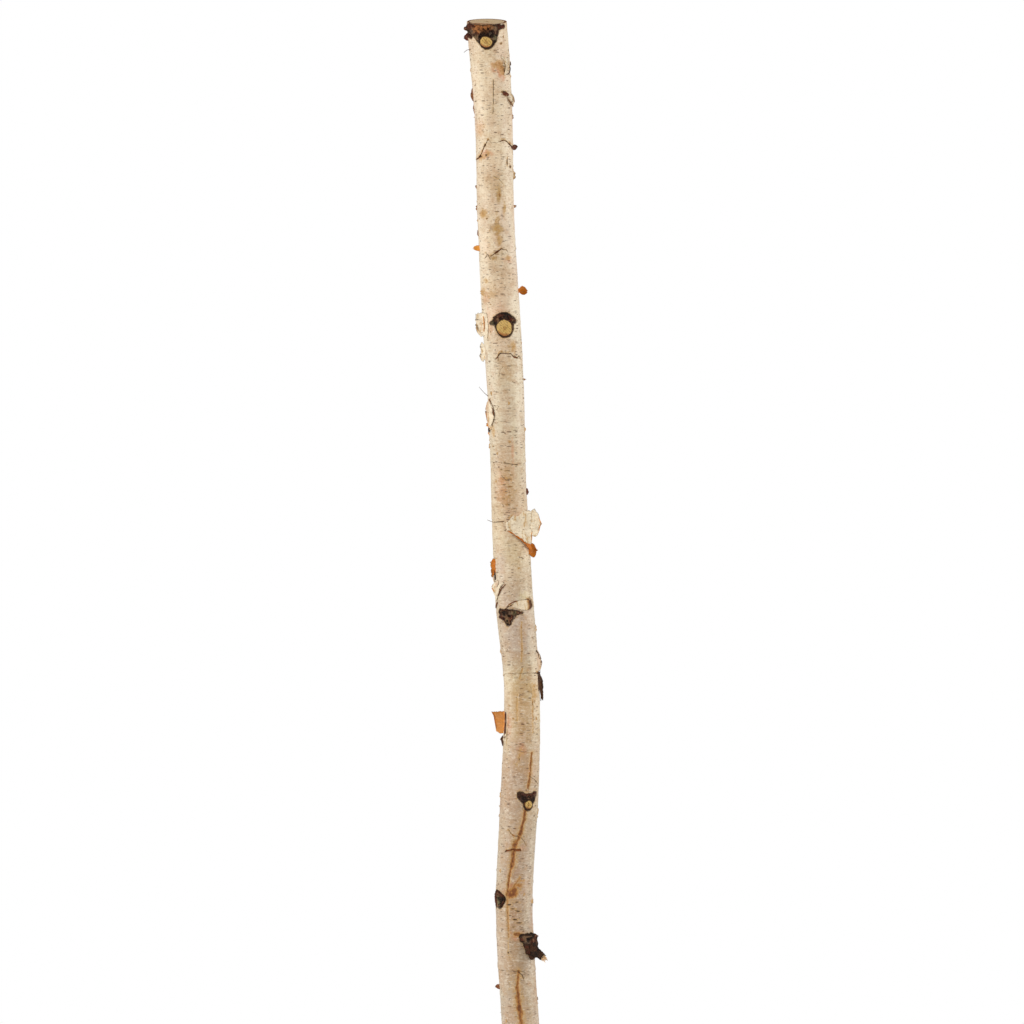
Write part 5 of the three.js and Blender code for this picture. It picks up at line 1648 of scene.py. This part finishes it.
# ---- camera, light, floor
def look_from(name, data, position, target):
    """A camera or light at a position, aimed at a target."""
    made = bpy.data.objects.new(name, data)
    bpy.context.scene.collection.objects.link(made)
    made.location = position
    direction = np.array(target) - np.array(position)
    made.rotation_euler = (
        math.atan2(math.hypot(direction[0], direction[1]), -direction[2]),
        0,
        math.atan2(-direction[0], direction[1]),
    )
    return made


def area_light(name, position, target, width, height, power, colour):
    """A soft, rectangular lamp that the camera doesn't see."""
    data = bpy.data.lights.new(name, "AREA")
    data.shape = "RECTANGLE"
    data.size, data.size_y = width, height
    data.energy = power
    data.color = colour
    made = look_from(name, data, position, target)
    made.visible_camera = False
    return made


VIEW_CENTRE = (-0.022, 0.0, 0.910)
VIEW_HEIGHT = 1.2333
CAMERA_DISTANCE = 12.0
CAMERA_ELEVATION = math.radians(3.0)
SENSOR = 36.0

camera_data = bpy.data.cameras.new("camera")
camera_data.sensor_width = SENSOR
camera_data.lens = SENSOR * CAMERA_DISTANCE / VIEW_HEIGHT
camera_data.clip_end = 50.0
camera_place = (
    VIEW_CENTRE[0],
    -CAMERA_DISTANCE * math.cos(CAMERA_ELEVATION),
    VIEW_CENTRE[2] + CAMERA_DISTANCE * math.sin(CAMERA_ELEVATION),
)
bpy.context.scene.camera = look_from("camera", camera_data, camera_place, VIEW_CENTRE)

MIDDLE = (-0.02, 0.0, 0.8)
area_light("left_softbox", (-2.2, -0.9, 1.1), MIDDLE, 1.0, 2.6, 38, (1.0, 0.99, 0.97))
area_light("right_softbox", (2.3, -0.4, 1.1), MIDDLE, 0.9, 2.6, 35, (1.0, 0.99, 0.97))
area_light("front_fill", (-0.5, -3.2, 2.4), MIDDLE, 1.6, 1.2, 12, (1.0, 0.97, 0.93))

world = bpy.data.worlds.new("studio")
bpy.context.scene.world = world
world.use_nodes = True
world.node_tree.nodes.clear()
seen = add_node(world.node_tree, "ShaderNodeLightPath").outputs["Is Camera Ray"]
backdrop = add_node(world.node_tree, "ShaderNodeBackground", {"Color": (1, 1, 1, 1), "Strength": 1.0})
ambient = add_node(world.node_tree, "ShaderNodeBackground", {"Color": (1, 0.985, 0.965, 1), "Strength": 0.43})
both_worlds = add_node(world.node_tree, "ShaderNodeMixShader", {
    0: seen, 1: ambient.outputs["Background"], 2: backdrop.outputs["Background"]})
add_node(world.node_tree, "ShaderNodeOutputWorld", {"Surface": both_worlds.outputs["Shader"]})
bpy.context.scene.view_settings.view_transform = "Standard"


FLOOR_POINTS = 96
FLOOR_RADIUS = 1100
FLOOR_MIDDLE = -20


def floor():
    """A plain pale disc under the pole."""
    angle = circle(FLOOR_POINTS)
    east = np.cos(angle) * FLOOR_RADIUS + FLOOR_MIDDLE
    rim = np.stack([east, np.sin(angle) * FLOOR_RADIUS, 0 * angle], -1)
    points = np.vstack([rim, [[FLOOR_MIDDLE, 0, 0]]])
    here = np.arange(FLOOR_POINTS)
    faces = np.stack([here, (here + 1) % FLOOR_POINTS, 0 * here + FLOOR_POINTS], -1)
    made = mesh_object("floor", points, faces, {})
    s = Shader("floor_paper", **{"Base Color": (0.86, 0.86, 0.85, 1), "Roughness": 0.8})
    made.data.materials.append(s.material)


floor()
